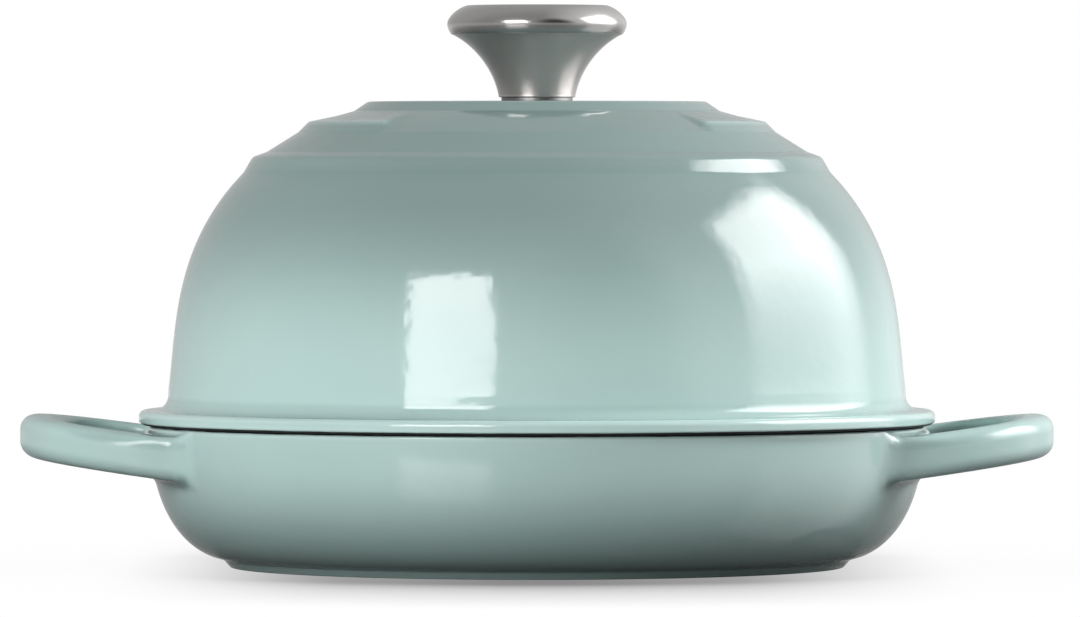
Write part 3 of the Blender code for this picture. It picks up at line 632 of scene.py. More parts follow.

# %% [markdown]
# Where shade and light are painted follows from the shape. On the dish, painted shade lies in the
# crease under the handles, down the sides of the finger holes and in a band below their top edge,
# and painted light lies beside the holes and on the rim's corner, each found by its distances. On
# the lid, how the outline bends says it: painted shade in hollows, painted highlight on edges.

# %% Pooled glaze
def bend_of(line, spread=0.8 * MM):
    """How strongly an outline bends at each point, from -1 on a sharp edge to 1 in a sharp hollow:
    the turn between the directions a little before and a little after it, over half a radian."""
    run = np.concatenate([[0], np.cumsum(np.hypot(*np.diff(line, axis=0).T))])
    place = np.stack([np.interp(run, run, line[:, k]) for k in (0, 1)], -1)
    before = place - np.stack([np.interp(run - spread, run, line[:, k]) for k in (0, 1)], -1)
    after = np.stack([np.interp(run + spread, run, line[:, k]) for k in (0, 1)], -1) - place
    cross = before[:, 0] * after[:, 1] - before[:, 1] * after[:, 0]
    turned_by = np.arctan2(cross, (before * after).sum(-1))
    return np.clip(turned_by / 0.5, -1, 1)


CREASE_SHADE_REACH = 3.2 * MM
OFF_WALL = RIM_RADIUS + 1.0 * MM

# painted shade under the handles, in the crease with the wall
from_crease = np.hypot(to_wall, to_handle)
painted_light = smooth(1 - from_crease / CREASE_SHADE_REACH) * smooth((UNDERSIDE_AT_ROOT + 3 * MM - height) / (4 * MM))

# painted shade down the finger holes' sides and in a band below the top edge, and painted light
# on the top face beside them
outer, hole, top, _, out = handle_parts(points)
hole_shade = smooth(1 - np.abs(hole) / (1.5 * MM)) * smooth((-top - 0.4 * MM) / (2.5 * MM))
hole_shade *= 0.95 - 0.45 * smooth((out - 0.3) / 0.3)
beside_hole_light = smooth(1 - hole / (4.5 * MM)) * smooth(1 - np.abs(top) / (1.4 * MM)) * (hole > -0.5 * MM)
under_edge_shade = smooth(1 - np.abs(top + 3.0 * MM) / (2.4 * MM)) * (outer > -3 * MM)
under_edge_shade *= smooth((0.75 - out) / 0.3)
painted_light += np.where(radius > OFF_WALL, hole_shade - 0.6 * beside_hole_light + 0.45 * under_edge_shade, 0.0)

# painted highlight on the rim's corner
rim_corner = np.hypot(np.clip(radius - RIM_RADIUS, None, 0), height - RIM_HEIGHT + 0.9 * MM)
painted_light -= np.where(radius < RIM_RADIUS + 2.5 * MM, smooth(1.6 - rim_corner / MM), 0.0)
store(dish, "painted_light", painted_light)
store(dish, "handled", smooth((radius - OFF_WALL) / (8 * MM)))
# counts the points of painted shade
print("glaze pooled at", int((painted_light > 0.1).sum()), "points of the dish")

# %% [markdown]
# ## The lid
#
# The lid rises from a flat flange in one bulging curve, and near the top it steps in: a riser with
# a narrow tread, a cone, a raised middle ring, a ledge and a flat crown. The middle ring is
# interrupted over a bare panel at the front and the back, and runs down into it at its ends. So the
# lid has two outlines, one with the ring and one without, and each direction round the axis blends
# them by how much of the ring is there.

# %% Lid sizes
LID_TURN = math.radians(3)
FLANGE_RADIUS = RIM_RADIUS + 3.4 * MM
FLANGE_TOP = SEAT_HEIGHT + 4.5 * MM
DOME_FOOT_RADIUS = FLANGE_RADIUS - 9.0 * MM
DOME_FOOT_FILLET = 4.6 * MM
SHOULDER = (DOME_FOOT_RADIUS - 24.0 * MM, FLANGE_TOP + 74.7 * MM)
STEP = (SHOULDER[0] - 2.7 * MM, SHOULDER[1] + 4.7 * MM)
TREAD = (STEP[0] - 4.5 * MM, STEP[1] + 1.6 * MM)
CONE = (TREAD[0] - 9.9 * MM, TREAD[1] + 6.2 * MM)
PANEL = (CONE[0] - 12.1 * MM, CONE[1] + 5.1 * MM)
LEDGE = (PANEL[0] - 5.4 * MM, PANEL[1] + 1.5 * MM)
CROWN_RADIUS = LEDGE[0] - 4.4 * MM
RING_SHARE = 0.73
RING_RISE = 1.9 * MM
LID_WALL = 4.3 * MM
CEILING_HEIGHT = CROWN_HEIGHT - 5.0 * MM
SCREW_HOLE_RADIUS = 3.6 * MM
RIB_RADIUS = RIM_RADIUS - RIM_WIDTH - 1.1 * MM
RIB_WIDTH = 4.2 * MM
print("the dome rises", round((SHOULDER[1] - FLANGE_TOP) / MM, 1), "mm from the flange to the step")

# %% [markdown]
# As on the dish, the outline is put together end to end: crown, middle ring or bare panel, step,
# dome, flange, locating rib, the inside, and the ceiling back to the screw's hole.

# %% Lid outlines
dome = cubic(SHOULDER, (SHOULDER[0] + 22.9 * MM, SHOULDER[1] - 23.7 * MM),
             (DOME_FOOT_RADIUS - 3 * MM, FLANGE_TOP + DOME_FOOT_FILLET + 21 * MM),
             (DOME_FOOT_RADIUS, FLANGE_TOP + DOME_FOOT_FILLET), 90)
ring_edge = (PANEL[0] + RING_SHARE * (CONE[0] - PANEL[0]),
             PANEL[1] + RING_SHARE * (CONE[1] - PANEL[1]) + RING_RISE)
crown_top = outline((SCREW_HOLE_RADIUS, CROWN_HEIGHT, 0), (8 * MM, CROWN_HEIGHT, 0),
                    (CROWN_RADIUS, CROWN_HEIGHT, 2.4 * MM), (*LEDGE, 2.6 * MM),
                    (*PANEL, 0), count=9)[:-1]
raised = outline(PANEL, (*ring_edge, 0.9 * MM), (*CONE, 0.8 * MM), (*TREAD, 0), count=11)[:-1]
share = ((raised[:, 0] - PANEL[0]) / (CONE[0] - PANEL[0]))[:, None]
bare = np.where(share < 1, np.array(PANEL) + share * (np.array(CONE) - np.array(PANEL)), raised)
step_down = outline(CONE, (*TREAD, 4 * MM), (*STEP, 3 * MM), (*SHOULDER, 4 * MM), dome[4],
                    count=9)[1:-1]
flange = outline(dome[-4], (DOME_FOOT_RADIUS, FLANGE_TOP, DOME_FOOT_FILLET),
                 (FLANGE_RADIUS, FLANGE_TOP, 1.9 * MM),
                 (FLANGE_RADIUS, SEAT_HEIGHT + 0.9 * MM, 0.7 * MM),
                 (FLANGE_RADIUS - 1.4 * MM, SEAT_HEIGHT, 0.5 * MM),
                 (RIB_RADIUS + 0.01 * MM, SEAT_HEIGHT, 0), count=9)[1:-1]
rib = outline((RIB_RADIUS + 3 * MM, SEAT_HEIGHT, 0), (RIB_RADIUS, SEAT_HEIGHT, 0.5 * MM),
              (RIB_RADIUS, SEAT_HEIGHT - RIB_DEPTH, 1.0 * MM),
              (RIB_RADIUS - RIB_WIDTH, SEAT_HEIGHT - RIB_DEPTH, 1.5 * MM),
              (RIB_RADIUS - RIB_WIDTH, SEAT_HEIGHT + 4 * MM, 0), count=6)[1:]
dome_inside = inside_of(dome, LID_WALL)[2::4][::-1]
ceiling = outline(dome_inside[-1], (TREAD[0] - 2.4 * MM, TREAD[1] - 3.8 * MM, 9 * MM),
                  (CROWN_RADIUS, CEILING_HEIGHT, 12 * MM), (SCREW_HOLE_RADIUS + 4 * MM, CEILING_HEIGHT, 0),
                  (SCREW_HOLE_RADIUS, CEILING_HEIGHT, 0), count=9)[1:]
after_ring = np.concatenate([step_down, dome[5:-3], flange, rib, dome_inside, ceiling])
lid_profile = np.concatenate([crown_top, raised, after_ring])
bare_profile = np.concatenate([crown_top, bare, after_ring])
print("lid outline:", len(lid_profile), "points, ring between", len(crown_top), "and",
      len(crown_top) + len(raised))

# %% [markdown]
# The ring is there on both sides and fades over a few degrees at each end of the bare panels.
#
# The lid needs the same numbers as the dish. Its glaze ends at a place along the outline, so that
# one is the distance along it. How the outline bends says where shade is painted, in its hollows,
# and where highlight is painted, on its edges. Only the step is given values of its own: less
# painted highlight on its edge, and more painted shade at its foot.

# %% Lid mesh
LID_STEPS = 360
PANEL_HALF_ANGLE = math.radians(43)
RING_TAPER = math.radians(2.6)

angle = np.linspace(0, 2 * math.pi, LID_STEPS, endpoint=False)
from_panel = np.abs(np.arcsin(np.cos(angle))) - PANEL_HALF_ANGLE
presence = smooth(from_panel / RING_TAPER + 0.5)[:, None, None]
sections = bare_profile + presence * (lid_profile - bare_profile)
lid_points = np.stack([sections[..., 0] * np.cos(angle + LID_TURN)[:, None],
                       sections[..., 0] * np.sin(angle + LID_TURN)[:, None], sections[..., 1]], -1)
run = np.concatenate([[0], np.cumsum(np.hypot(*np.diff(lid_profile, axis=0).T))]) / MM


def run_at(radius, height):
    """How far along the lid's outline, in millimetres, the point nearest to a place lies."""
    return run[np.hypot(lid_profile[:, 0] - radius, lid_profile[:, 1] - height).argmin()]


def within(place, reach):
    """1 at a place along the outline, eased to 0 at that many millimetres from it."""
    return smooth(1 - np.abs(run - place) / reach)


# Painted shade in the outline's hollows and painted highlight on its edges, from how it bends.
lid_painted_light = bend_of(bare_profile) + presence[..., 0] * (bend_of(lid_profile) - bend_of(bare_profile))
step_foot = run_at(SHOULDER[0] - 0.9 * MM, SHOULDER[1] + 1.4 * MM)
# Less painted highlight on the step's edge, and a painted dark line at its foot.
lid_painted_light *= 1 - 0.7 * within(run_at(*STEP), 3)
lid_painted_light += 0.45 * within(step_foot, 1.8)
glaze_end = run_at(FLANGE_RADIUS - 0.5 * MM, SEAT_HEIGHT + 0.6 * MM)
ground_end = run_at(RIB_RADIUS, SEAT_HEIGHT)
lid = skin("bread_oven_lid", lid_points, numbers={
    "glaze": np.clip(glaze_end - run, -2, 2),
    "ground": np.clip(np.minimum(run - glaze_end, ground_end - run), -2, 2),
    "painted_light": lid_painted_light,
})
count_faces(lid)

# %% [markdown]
# ## The knob
#
# The knob is two pressed steel shells. The stem flares out like a trumpet, and the cap is rolled
# round its edge and set on it, so that a sharp crease runs where they meet. Both are thin and
# hollow. A thin ring lies between the stem's foot and the enamel, to spare it, and its steel is
# darkened as painted shade under the foot.

# %% The knob's stem
KNOB_STEPS = 192
STEM_WALL = 1.8 * MM
BORE_RADIUS = 3.3 * MM
INSERT_RADIUS = BORE_RADIUS + 2.7 * MM
INSERT_FLANGE_RADIUS = INSERT_RADIUS + 2.3 * MM

stem_top = (stem_high.x, stem_high.z)
stem_foot_radius = INSERT_FLANGE_RADIUS + 1.95 * MM + STEM_WALL
flare = cubic(stem_top, (stem_top[0] - 5.8 * MM, stem_top[1] - 2.6 * MM),
              (stem_foot_radius + 1.95 * MM, stem_low.z + 10.3 * MM),
              (stem_foot_radius, stem_low.z + 0.5 * MM), 60)
stem_inside = inside_of(flare, STEM_WALL)[::4][::-1]
stem_inside = stem_inside[stem_inside[:, 1] > stem_low.z + 3.5 * MM]
stem_inside = stem_inside[stem_inside[:, 1] < stem_top[1] - 0.5 * MM]
stem_floor = stem_low.z + 2 * MM
stem_bottom = outline((stem_foot_radius, stem_low.z + 1.5 * MM, 0),
                      (stem_foot_radius, stem_low.z, 0.35 * MM),
                      (INSERT_RADIUS + GAP, stem_low.z, 0.2 * MM),
                      (INSERT_RADIUS + GAP, stem_floor, 0.2 * MM),
                      (stem_inside[0][0] - 0.2 * MM, stem_floor, 1.0 * MM), stem_inside[0],
                      count=4)[1:-1]
stem_lip = outline(stem_inside[-1], (stem_top[0] - STEM_WALL, stem_top[1], 0.2 * MM),
                   (stem_top[0] - 0.04 * MM, stem_top[1], 0), (*stem_top, 0), count=3)[1:-1]
flare = np.insert(flare, 1, flare[0] + (flare[1] - flare[0]) * 0.1, axis=0)
stem_profile = np.concatenate([flare, stem_bottom, stem_inside, stem_lip])
knob_stem = turned("knob_flared_stem", stem_profile, KNOB_STEPS)
count_faces(knob_stem)

# %% [markdown]
# The cap's edge is rolled. One curve turns over from the flat top to the widest place, and another
# runs back under it to the crease. Inside, the cap is hollow.

# %% The knob's cap
CAP_WALL = 2.2 * MM

cap_radius = cap_high.x
crease_height = stem_high.z + 0.03 * MM
flat_radius = cap_radius - 6.7 * MM
waist = cap_low.z + 2.9 * MM
cap_edge = cubic((flat_radius, cap_high.z), (flat_radius + 2.1 * MM, cap_high.z),
                 (cap_radius, waist + 2.6 * MM), (cap_radius, waist), 30)
cap_under = cubic((cap_radius, waist), (cap_radius, waist - 1.2 * MM),
                  (stem_top[0] + 0.6 * MM, crease_height + 0.6 * MM), (stem_top[0], crease_height), 12)
cap_top = np.array([(radius * MM, cap_high.z) for radius in (0, 6, 12, 17)])
cap_hollow = outline((stem_top[0], crease_height, 0), (stem_top[0] - CAP_WALL, crease_height, 0.3 * MM),
                     (stem_top[0] - CAP_WALL, cap_low.z + 3.5 * MM, 2 * MM),
                     (flat_radius - CAP_WALL, cap_high.z - CAP_WALL, 2 * MM),
                     (0, cap_high.z - CAP_WALL, 0), count=5)[1:]
cap_profile = np.concatenate([cap_top, cap_edge, cap_under[1:], cap_hollow])
knob_cap = turned("knob_rolled_cap", cap_profile, KNOB_STEPS, closed_outline=False)
count_faces(knob_cap)

# %% [markdown]
# The dark ring is a rectangle with rounded corners, carried round. The washers are made so too, so
# it gets helpers.

# %% Flat rings
def ring_section(inner, outer, low, high, edge, count):
    """The rectangle of a flat ring, walked round from the middle of its top, with rounded corners."""
    return outline(((inner + outer) / 2, high, 0), (outer, high, edge), (outer, low, edge),
                   (inner, low, edge), (inner, high, edge), ((inner + outer) / 2, high, 0),
                   count=count)[:-1]


def round_ring(name, inner, outer, low, high, edge, steps):
    """A flat ring with rounded edges: its outline is a rectangle with four arcs."""
    return turned(name, ring_section(inner, outer, low, high, edge, 5), steps)


seat_ring = round_ring("knob_dark_ring", INSERT_RADIUS + GAP, ring_high.x,
                       CROWN_HEIGHT, stem_low.z + 0.05 * MM, 0.15 * MM, 120)
count_faces(seat_ring)

# %% [markdown]
# ## Screw, insert and washers
#
# One screw comes up from inside the lid and pulls the knob down on the crown. It has a pan head
# with a cross recess, a split spring washer that keeps it from working loose, and a flat washer
# that spares the enamel. The screw bites in an insert in the stem's foot. Nobody sees them with the
# lid on, but they show when it is lifted off and looked into.

# %% Washers
flat_low, flat_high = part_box("flat_washer")
spring_low, spring_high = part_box("spring_washer")
SMALL_STEPS = 96

flat_washer = round_ring("flat_washer_zinc", BORE_RADIUS, flat_high.x, flat_low.z, flat_high.z,
                         0.3 * MM, SMALL_STEPS)


def split_washer(name, inner, outer, low, high, split, lean):
    """A ring that ends short of a full turn: a square section carried round, closed at its two
    ends, which slant by lean times the height across the split."""
    half = split / 2 / ((inner + outer) / 2)
    angle = np.linspace(half, 2 * math.pi - half, SMALL_STEPS)
    section = ring_section(inner, outer, low, high, 0.25 * MM, 4)
    middle = section.mean(axis=0)
    closed_end = [0 * section + middle]
    rings = np.concatenate([closed_end, np.repeat(section[None], len(angle), 0), closed_end])
    angle = np.concatenate([angle[:1], angle, angle[-1:]])[:, None]
    angle = angle + (rings[..., 1] - middle[1]) * lean / middle[0]
    points = np.stack([rings[..., 0] * np.cos(angle), rings[..., 0] * np.sin(angle), rings[..., 1]], -1)
    return skin(name, points.swapaxes(0, 1), closed_outline=False)


spring_washer = split_washer("spring_washer_zinc", BORE_RADIUS, spring_high.x, spring_low.z, spring_high.z,
                             0.9 * MM, math.tan(math.radians(25)))
count_faces(spring_washer)

# %% [markdown]
# The screw's thread is hidden in the insert, so it isn't a true helix: the outline just waves in and
# out by the thread's depth, once for each turn.

# %% Screw
screw_low, screw_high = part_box("knob_screw")
SCREW_RADIUS = 3.0 * MM
THREAD_DEPTH = 0.28 * MM
HEAD_HEIGHT = 3.6 * MM

head_top = screw_low.z
shank_start = head_top + HEAD_HEIGHT
head_radius = screw_high.x
thread_turns = np.arange(shank_start + 1.5 * MM, screw_high.z - 1.2 * MM, 0.25 * MM)
thread_wave = THREAD_DEPTH / 2 * np.cos(np.arange(len(thread_turns)) * math.pi / 2)
thread = np.stack([SCREW_RADIUS - THREAD_DEPTH / 2 + thread_wave, thread_turns], -1)[::-1]
screw_profile = np.concatenate([
    outline((0, screw_high.z, 0), (SCREW_RADIUS - 0.6 * MM, screw_high.z, 0),
            (SCREW_RADIUS, screw_high.z - 0.6 * MM, 0), (SCREW_RADIUS, screw_high.z - 1.0 * MM, 0)),
    thread,
    outline((SCREW_RADIUS, shank_start + 1 * MM, 0), (SCREW_RADIUS, shank_start, 0.2 * MM),
            (head_radius, shank_start, 0.3 * MM), (head_radius, head_top + 1.3 * MM, 0),
            count=4),
    cubic((head_radius, head_top + 1.3 * MM), (head_radius, head_top + 0.3 * MM),
          (head_radius - 2 * MM, head_top), (0.2 * MM, head_top), 14)[1:],
    [[0, head_top]],
])
screw = turned("knob_fixing_screw", screw_profile, SMALL_STEPS, closed_outline=False)
count_faces(screw)

# %% [markdown]
# Two crossed blades are cut from the head for the screwdriver. After such a cut the normals are
# smoothed again, but edges of more than forty degrees stay sharp.

# %% Cross recess
def recess_blade(name, turn):
    """One arm of the cross recess as a cutter: long at the head's face, short and narrow at its
    bottom. Its four outlines run round the axis from below the face to the bottom."""
    half = np.array([(3.3, 0.75), (3.1, 0.68), (1.5, 0.5)]) * MM
    level = np.array([head_top - 0.4 * MM, head_top, head_top + 2.0 * MM])
    corner = np.array([(1, 1), (-1, 1), (-1, -1), (1, -1)])[:, None]
    flat = corner * half[None]
    x = flat[..., 0] * math.cos(turn) - flat[..., 1] * math.sin(turn)
    y = flat[..., 0] * math.sin(turn) + flat[..., 1] * math.cos(turn)
    rings = np.stack([x, y, level + 0 * x], -1)
    poles = [np.broadcast_to([[[0, 0, z]]], (4, 1, 3)) for z in (level[0], level[-1])]
    return skin(name, np.concatenate([poles[0], rings, poles[1]], axis=1), closed_outline=False)


boolean(screw, [recess_blade("recess_long", 0.0), recess_blade("recess_cross", math.pi / 2)], "DIFFERENCE")
screw.data.shade_smooth()
screw.data.set_sharp_from_angle(angle=math.radians(40))
count_faces(screw)

# %% [markdown]
# The insert is a short bush. Its collar lies in the stem, and by it the screw holds the stem down.

# %% Insert
insert_low, insert_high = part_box("knob_insert")
shelf_low, shelf_high = stem_floor + 0.3 * MM, stem_floor + 2.7 * MM
insert_profile = outline(
    (BORE_RADIUS + 1 * MM, insert_high.z, 0), (INSERT_RADIUS, insert_high.z, 0.4 * MM),
    (INSERT_RADIUS, shelf_high, 0.2 * MM), (INSERT_FLANGE_RADIUS, shelf_high, 0.3 * MM),
    (INSERT_FLANGE_RADIUS, shelf_low, 0.3 * MM), (INSERT_RADIUS, shelf_low, 0.1 * MM),
    (INSERT_RADIUS, insert_low.z, 0.2 * MM), (BORE_RADIUS, insert_low.z, 0.2 * MM),
    (BORE_RADIUS, insert_high.z, 0.2 * MM), (BORE_RADIUS + 1 * MM, insert_high.z, 0), count=4)[:-1]
insert = turned("knob_threaded_insert", insert_profile, SMALL_STEPS)
count_faces(insert)

# %% [markdown]
# ## Node helpers
#
# A finish is a small graph of nodes round one Principled shader. Blender's editor is the place to
# try one out. In a script the graph reads best if each node takes one line, so two helpers make a
# node with its values set, and link what it is given.

# %% Node helpers
def node(tree, kind, values={}, **settings):
    """Make a node. Settings are its own options. Values go to its inputs: a socket is linked, and
    anything else is set."""
    made = tree.nodes.new(kind)
    for setting, value in settings.items():
        setattr(made, setting, value)
    for key, value in values.items():
        if isinstance(value, bpy.types.NodeSocket):
            tree.links.new(value, made.inputs[key])
        else:
            made.inputs[key].default_value = value
    return made


def start_material(name):
    """A material with its tree emptied but for the output and one Principled shader."""
    material = bpy.data.materials.new(name)
    material.use_nodes = True
    return material, material.node_tree, material.node_tree.nodes["Principled BSDF"]


def noise(tree, place, size, detail=2.0, roughness=0.5):
    """Cloudy values between 0 and 1, with lumps of about the given size in metres."""
    made = node(tree, "ShaderNodeTexNoise",
                {"Vector": place, "Scale": 0.7 / size, "Detail": detail, "Roughness": roughness})
    return made.outputs["Fac"]


def remap(tree, value, low, high, to_low=0.0, to_high=1.0):
    """Value carried from the span low to high onto another span, and held at its ends."""
    made = node(tree, "ShaderNodeMapRange",
                {"Value": value, "From Min": low, "From Max": high, "To Min": to_low, "To Max": to_high})
    return made.outputs["Result"]


def maths(tree, operation, first, second=0.0):
    """One sum on two values."""
    return node(tree, "ShaderNodeMath", {0: first, 1: second}, operation=operation).outputs[0]


def mix(tree, share, first, second):
    """Colour between two others."""
    made = node(tree, "ShaderNodeMix", {0: share, 6: first, 7: second}, data_type="RGBA")
    return made.outputs[2]


def blend(tree, share, first, second):
    """Number between two others."""
    made = node(tree, "ShaderNodeMix", {0: share, 2: first, 3: second}, data_type="FLOAT")
    return made.outputs[0]


def stored(tree, name):
    """A number that the mesh keeps for each point, or 0 where it keeps none of that name."""
    return node(tree, "ShaderNodeAttribute", attribute_name=name).outputs["Fac"]


def bump(tree, value, distance, before=None):
    """Dents of a depth in metres, on top of those before."""
    values = {"Height": value, "Distance": distance, "Strength": 1.0}
    if before is not None:
        values["Normal"] = before
    return node(tree, "ShaderNodeBump", values).outputs["Normal"]


def srgb(red, green, blue):
    """A colour as one reads it on a screen, 0 to 255, turned into the shader's linear values."""
    parts = np.array([red, green, blue]) / 255
    return (*np.where(parts > 0.04045, ((parts + 0.055) / 1.055) ** 2.4, parts / 12.92), 1.0)


print("mid grey on a screen is", round(srgb(128, 128, 128)[0], 3), "to a shader")

# %% [markdown]
# ## Enamel
#
# Glass enamel is sprayed on and melted. It is glossy, but it keeps a trace of how it flowed: waves
# of a centimetre or so, and a finer skin like orange peel. They are far too shallow to see on their
# own, and yet they make the edges of every reflection waver, which tells enamel from plastic. Two
# soft bumps do that better than modelled dents. The number stored as "glaze" mixes between the
# coloured gloss and the black satin, and "ground" lays the matte rim over both.
#
# Shade is painted into the colour too: between two heights each casting's colour goes over to a
# darker shade, on the lid towards its steps and top, and on the dish down the belly to the foot,
# where the faces turn up or down, away from the low lights. The handles get a little less gloss
# than the rest.

# %% Enamel
GLAZE_COLOUR = srgb(171, 197, 193)
GLAZE_SHADE = srgb(166, 192, 188)
# The next three colours are painted light: a darker shade by height, a darker shade in hollows and creases,
# and a paler highlight on edges.
GLAZE_HEIGHT_SHADE = srgb(109, 129, 126)
GLAZE_CREASE_SHADE = srgb(110, 136, 133)
GLAZE_EDGE_HIGHLIGHT = srgb(188, 212, 208)
SATIN_BLACK = srgb(33, 33, 34)
SATIN_BLACK_PITS = srgb(24, 24, 25)
RIM_BLACK = srgb(26, 25, 25)
CREASE_SHADE_SHARE = 0.75
EDGE_HIGHLIGHT_SHARE = 0.4
print("glaze", [round(part, 3) for part in GLAZE_COLOUR[:3]], "to the shader")


def glaze_colour(tree, place, height_shade):
    """The coloured glaze: two near shades in wide clouds, then the painted shade by height by its
    share, then painted shade in hollows and creases and a painted highlight on edges."""
    clouds = noise(tree, place, 45 * MM, detail=3)
    colour = mix(tree, remap(tree, clouds, 0.3, 0.7), GLAZE_COLOUR, GLAZE_SHADE)
    colour = mix(tree, height_shade, colour, GLAZE_HEIGHT_SHADE)
    painted_light = stored(tree, "painted_light")
    colour = mix(tree, remap(tree, painted_light, 0.1, 1.0, 0.0, CREASE_SHADE_SHARE), colour, GLAZE_CREASE_SHADE)
    return mix(tree, remap(tree, painted_light, -0.3, -1.0, 0.0, EDGE_HIGHLIGHT_SHARE), colour, GLAZE_EDGE_HIGHLIGHT)


# %% [markdown]
# How rough each coat is says how sharp its reflections are: under a tenth for glass, near a half
# for the satin black, and most for the ground rim. The bumps are stacked, each on the one before.

# %% Enamel's gloss and skin
GLOSS_ROUGHNESS = (0.07, 0.11)
SATIN_ROUGHNESS = 0.42
RIM_ROUGHNESS = 0.8
DULL_HANDLES = 0.13                # more roughness on them
GLASS_IOR = 1.52
WAVE_SIZE, WAVE_DEPTH = 11 * MM, 0.05 * MM
PEEL_SIZE, PEEL_DEPTH = 3.2 * MM, 0.065 * MM
GRIT_SIZE, GRIT_DEPTH = 0.5 * MM, 0.12 * MM


def enamel_roughness(tree, place, glazed, bare):
    """Gloss where it is glazed, satin where not, and matte on the bare rim."""
    gloss = remap(tree, noise(tree, place, 20 * MM), 0.3, 0.7, *GLOSS_ROUGHNESS)
    gloss = maths(tree, "ADD", gloss, maths(tree, "MULTIPLY", stored(tree, "handled"), DULL_HANDLES))
    return blend(tree, bare, blend(tree, glazed, SATIN_ROUGHNESS, gloss), RIM_ROUGHNESS)


def enamel_skin(tree, place, grit, glazed):
    """Waves, the finer peel on them, and grit where there is no gloss."""
    waves = bump(tree, noise(tree, place, WAVE_SIZE, detail=1), WAVE_DEPTH)
    peel = bump(tree, noise(tree, place, PEEL_SIZE, detail=1), PEEL_DEPTH, waves)
    rub = maths(tree, "MULTIPLY", grit, maths(tree, "SUBTRACT", 1.0, glazed))
    return bump(tree, rub, GRIT_DEPTH, peel)


print("a wave is", round(WAVE_SIZE / WAVE_DEPTH), "times as wide as it is deep")

# %% [markdown]
# One material holds all three coats, because a paint line that is drawn by a number on the mesh
# stays sharp at any distance. A little noise on the number makes the line waver as if by hand.

# %% Coats
def enamel(name, unshaded_height, full_share, shaded_height, thin_share):
    """Coloured gloss, black satin and matte rim in one material. The share of the painted shade by
    height goes from full_share at one height to thin_share at the other."""
    material, tree, shader = start_material(name)
    place = node(tree, "ShaderNodeTexCoord").outputs["Object"]
    waver = remap(tree, noise(tree, place, 6 * MM), 0.3, 0.7, -0.12, 0.12)
    glazed = remap(tree, maths(tree, "ADD", stored(tree, "glaze"), waver), -0.08, 0.08)
    bare = remap(tree, maths(tree, "ADD", stored(tree, "ground"), waver), -0.05, 0.1)
    bare = maths(tree, "MULTIPLY", bare, maths(tree, "SUBTRACT", 1.0, glazed))
    level = node(tree, "ShaderNodeSeparateXYZ", {0: place}).outputs[2]
    height_shade = node(tree, "ShaderNodeMapRange",
                    {"Value": level, "From Min": unshaded_height, "From Max": shaded_height,
                     "To Min": full_share, "To Max": thin_share}, interpolation_type="SMOOTHSTEP")
    grit = noise(tree, place, GRIT_SIZE, detail=3)
    colour = mix(tree, glazed, mix(tree, grit, SATIN_BLACK, SATIN_BLACK_PITS),
                 glaze_colour(tree, place, height_shade.outputs["Result"]))
    tree.links.new(mix(tree, bare, colour, RIM_BLACK), shader.inputs["Base Color"])
    tree.links.new(enamel_roughness(tree, place, glazed, bare), shader.inputs["Roughness"])
    tree.links.new(enamel_skin(tree, place, grit, glazed), shader.inputs["Normal"])
    shader.inputs["IOR"].default_value = GLASS_IOR
    return material


def coat(made, material):
    """Give a piece one material and no other."""
    made.data.materials.clear()
    made.data.materials.append(material)


# Painted shade by height: darker down the dish towards the foot, and up the lid towards its top.
coat(dish, enamel("dish_enamel", 35 * MM, 0.12, 4 * MM, 0.84))
coat(lid, enamel("lid_enamel", FLANGE_TOP + 14 * MM, 0.0, CROWN_HEIGHT - 30 * MM, 0.83))
print("enamel on", dish.name, "and", lid.name)

# %% [markdown]
# ## Steel
#
# The knob was turned and polished, but not to a mirror: fine rings run round it, which smear each
# reflection across them. Rings of a tenth of a millimetre can't be modelled. A noise that only
# changes with radius and height gives them, and the shader's anisotropy does the smear.

# %% Steel
def turned_steel(name, colour, rough, ring_depth, anisotropy=0.0, metallic=1.0):
    """Metal with rings round the axis: noise read at (radius, 0, height), so it is the same all
    the way round. A wide cloud adds handling marks. A satin surface also scatters a little light
    evenly, which a metallic value below 1 stands for."""
    material, tree, shader = start_material(name)
    place = node(tree, "ShaderNodeTexCoord").outputs["Object"]
    parts = node(tree, "ShaderNodeSeparateXYZ", {0: place}).outputs
    squares = [maths(tree, "POWER", maths(tree, "ABSOLUTE", part), 2.0) for part in parts[:2]]
    radius = maths(tree, "SQRT", maths(tree, "ADD", *squares))
    section = node(tree, "ShaderNodeCombineXYZ", {0: radius, 2: parts[2]}).outputs[0]
    rings = noise(tree, section, 0.4 * MM, detail=2, roughness=0.6)
    handling = noise(tree, place, 9 * MM, detail=4)
    darker = tuple(0.96 * part for part in colour[:3]) + (1.0,)
    tree.links.new(mix(tree, remap(tree, rings, 0.1, 0.9), darker, colour), shader.inputs["Base Color"])
    wear = maths(tree, "ADD", remap(tree, rings, 0.1, 0.9, -0.01, 0.02),
                 remap(tree, handling, 0.1, 0.9, -0.02, 0.06))
    tree.links.new(maths(tree, "ADD", wear, rough), shader.inputs["Roughness"])
    if ring_depth:
        tree.links.new(bump(tree, rings, ring_depth), shader.inputs["Normal"])
    shader.inputs["Metallic"].default_value = metallic
    if anisotropy:
        shader.inputs["Anisotropic"].default_value = anisotropy
        shader.inputs["Anisotropic Rotation"].default_value = 0.25
        round_axis = node(tree, "ShaderNodeTangent", direction_type="RADIAL", axis="Z").outputs[0]
        tree.links.new(round_axis, shader.inputs["Tangent"])
    return material


# The cap's steel is darker than the stem's, though both are one brushed steel: painted shade on the cap.
satin = turned_steel("knob_cap_steel_shaded", (0.44, 0.43, 0.42, 1), 0.18, 0.0, anisotropy=0.6, metallic=0.94)
stem_satin = turned_steel("knob_stem_steel", (0.60, 0.545, 0.535, 1), 0.31, 0.0, anisotropy=0.5,
                          metallic=0.92)
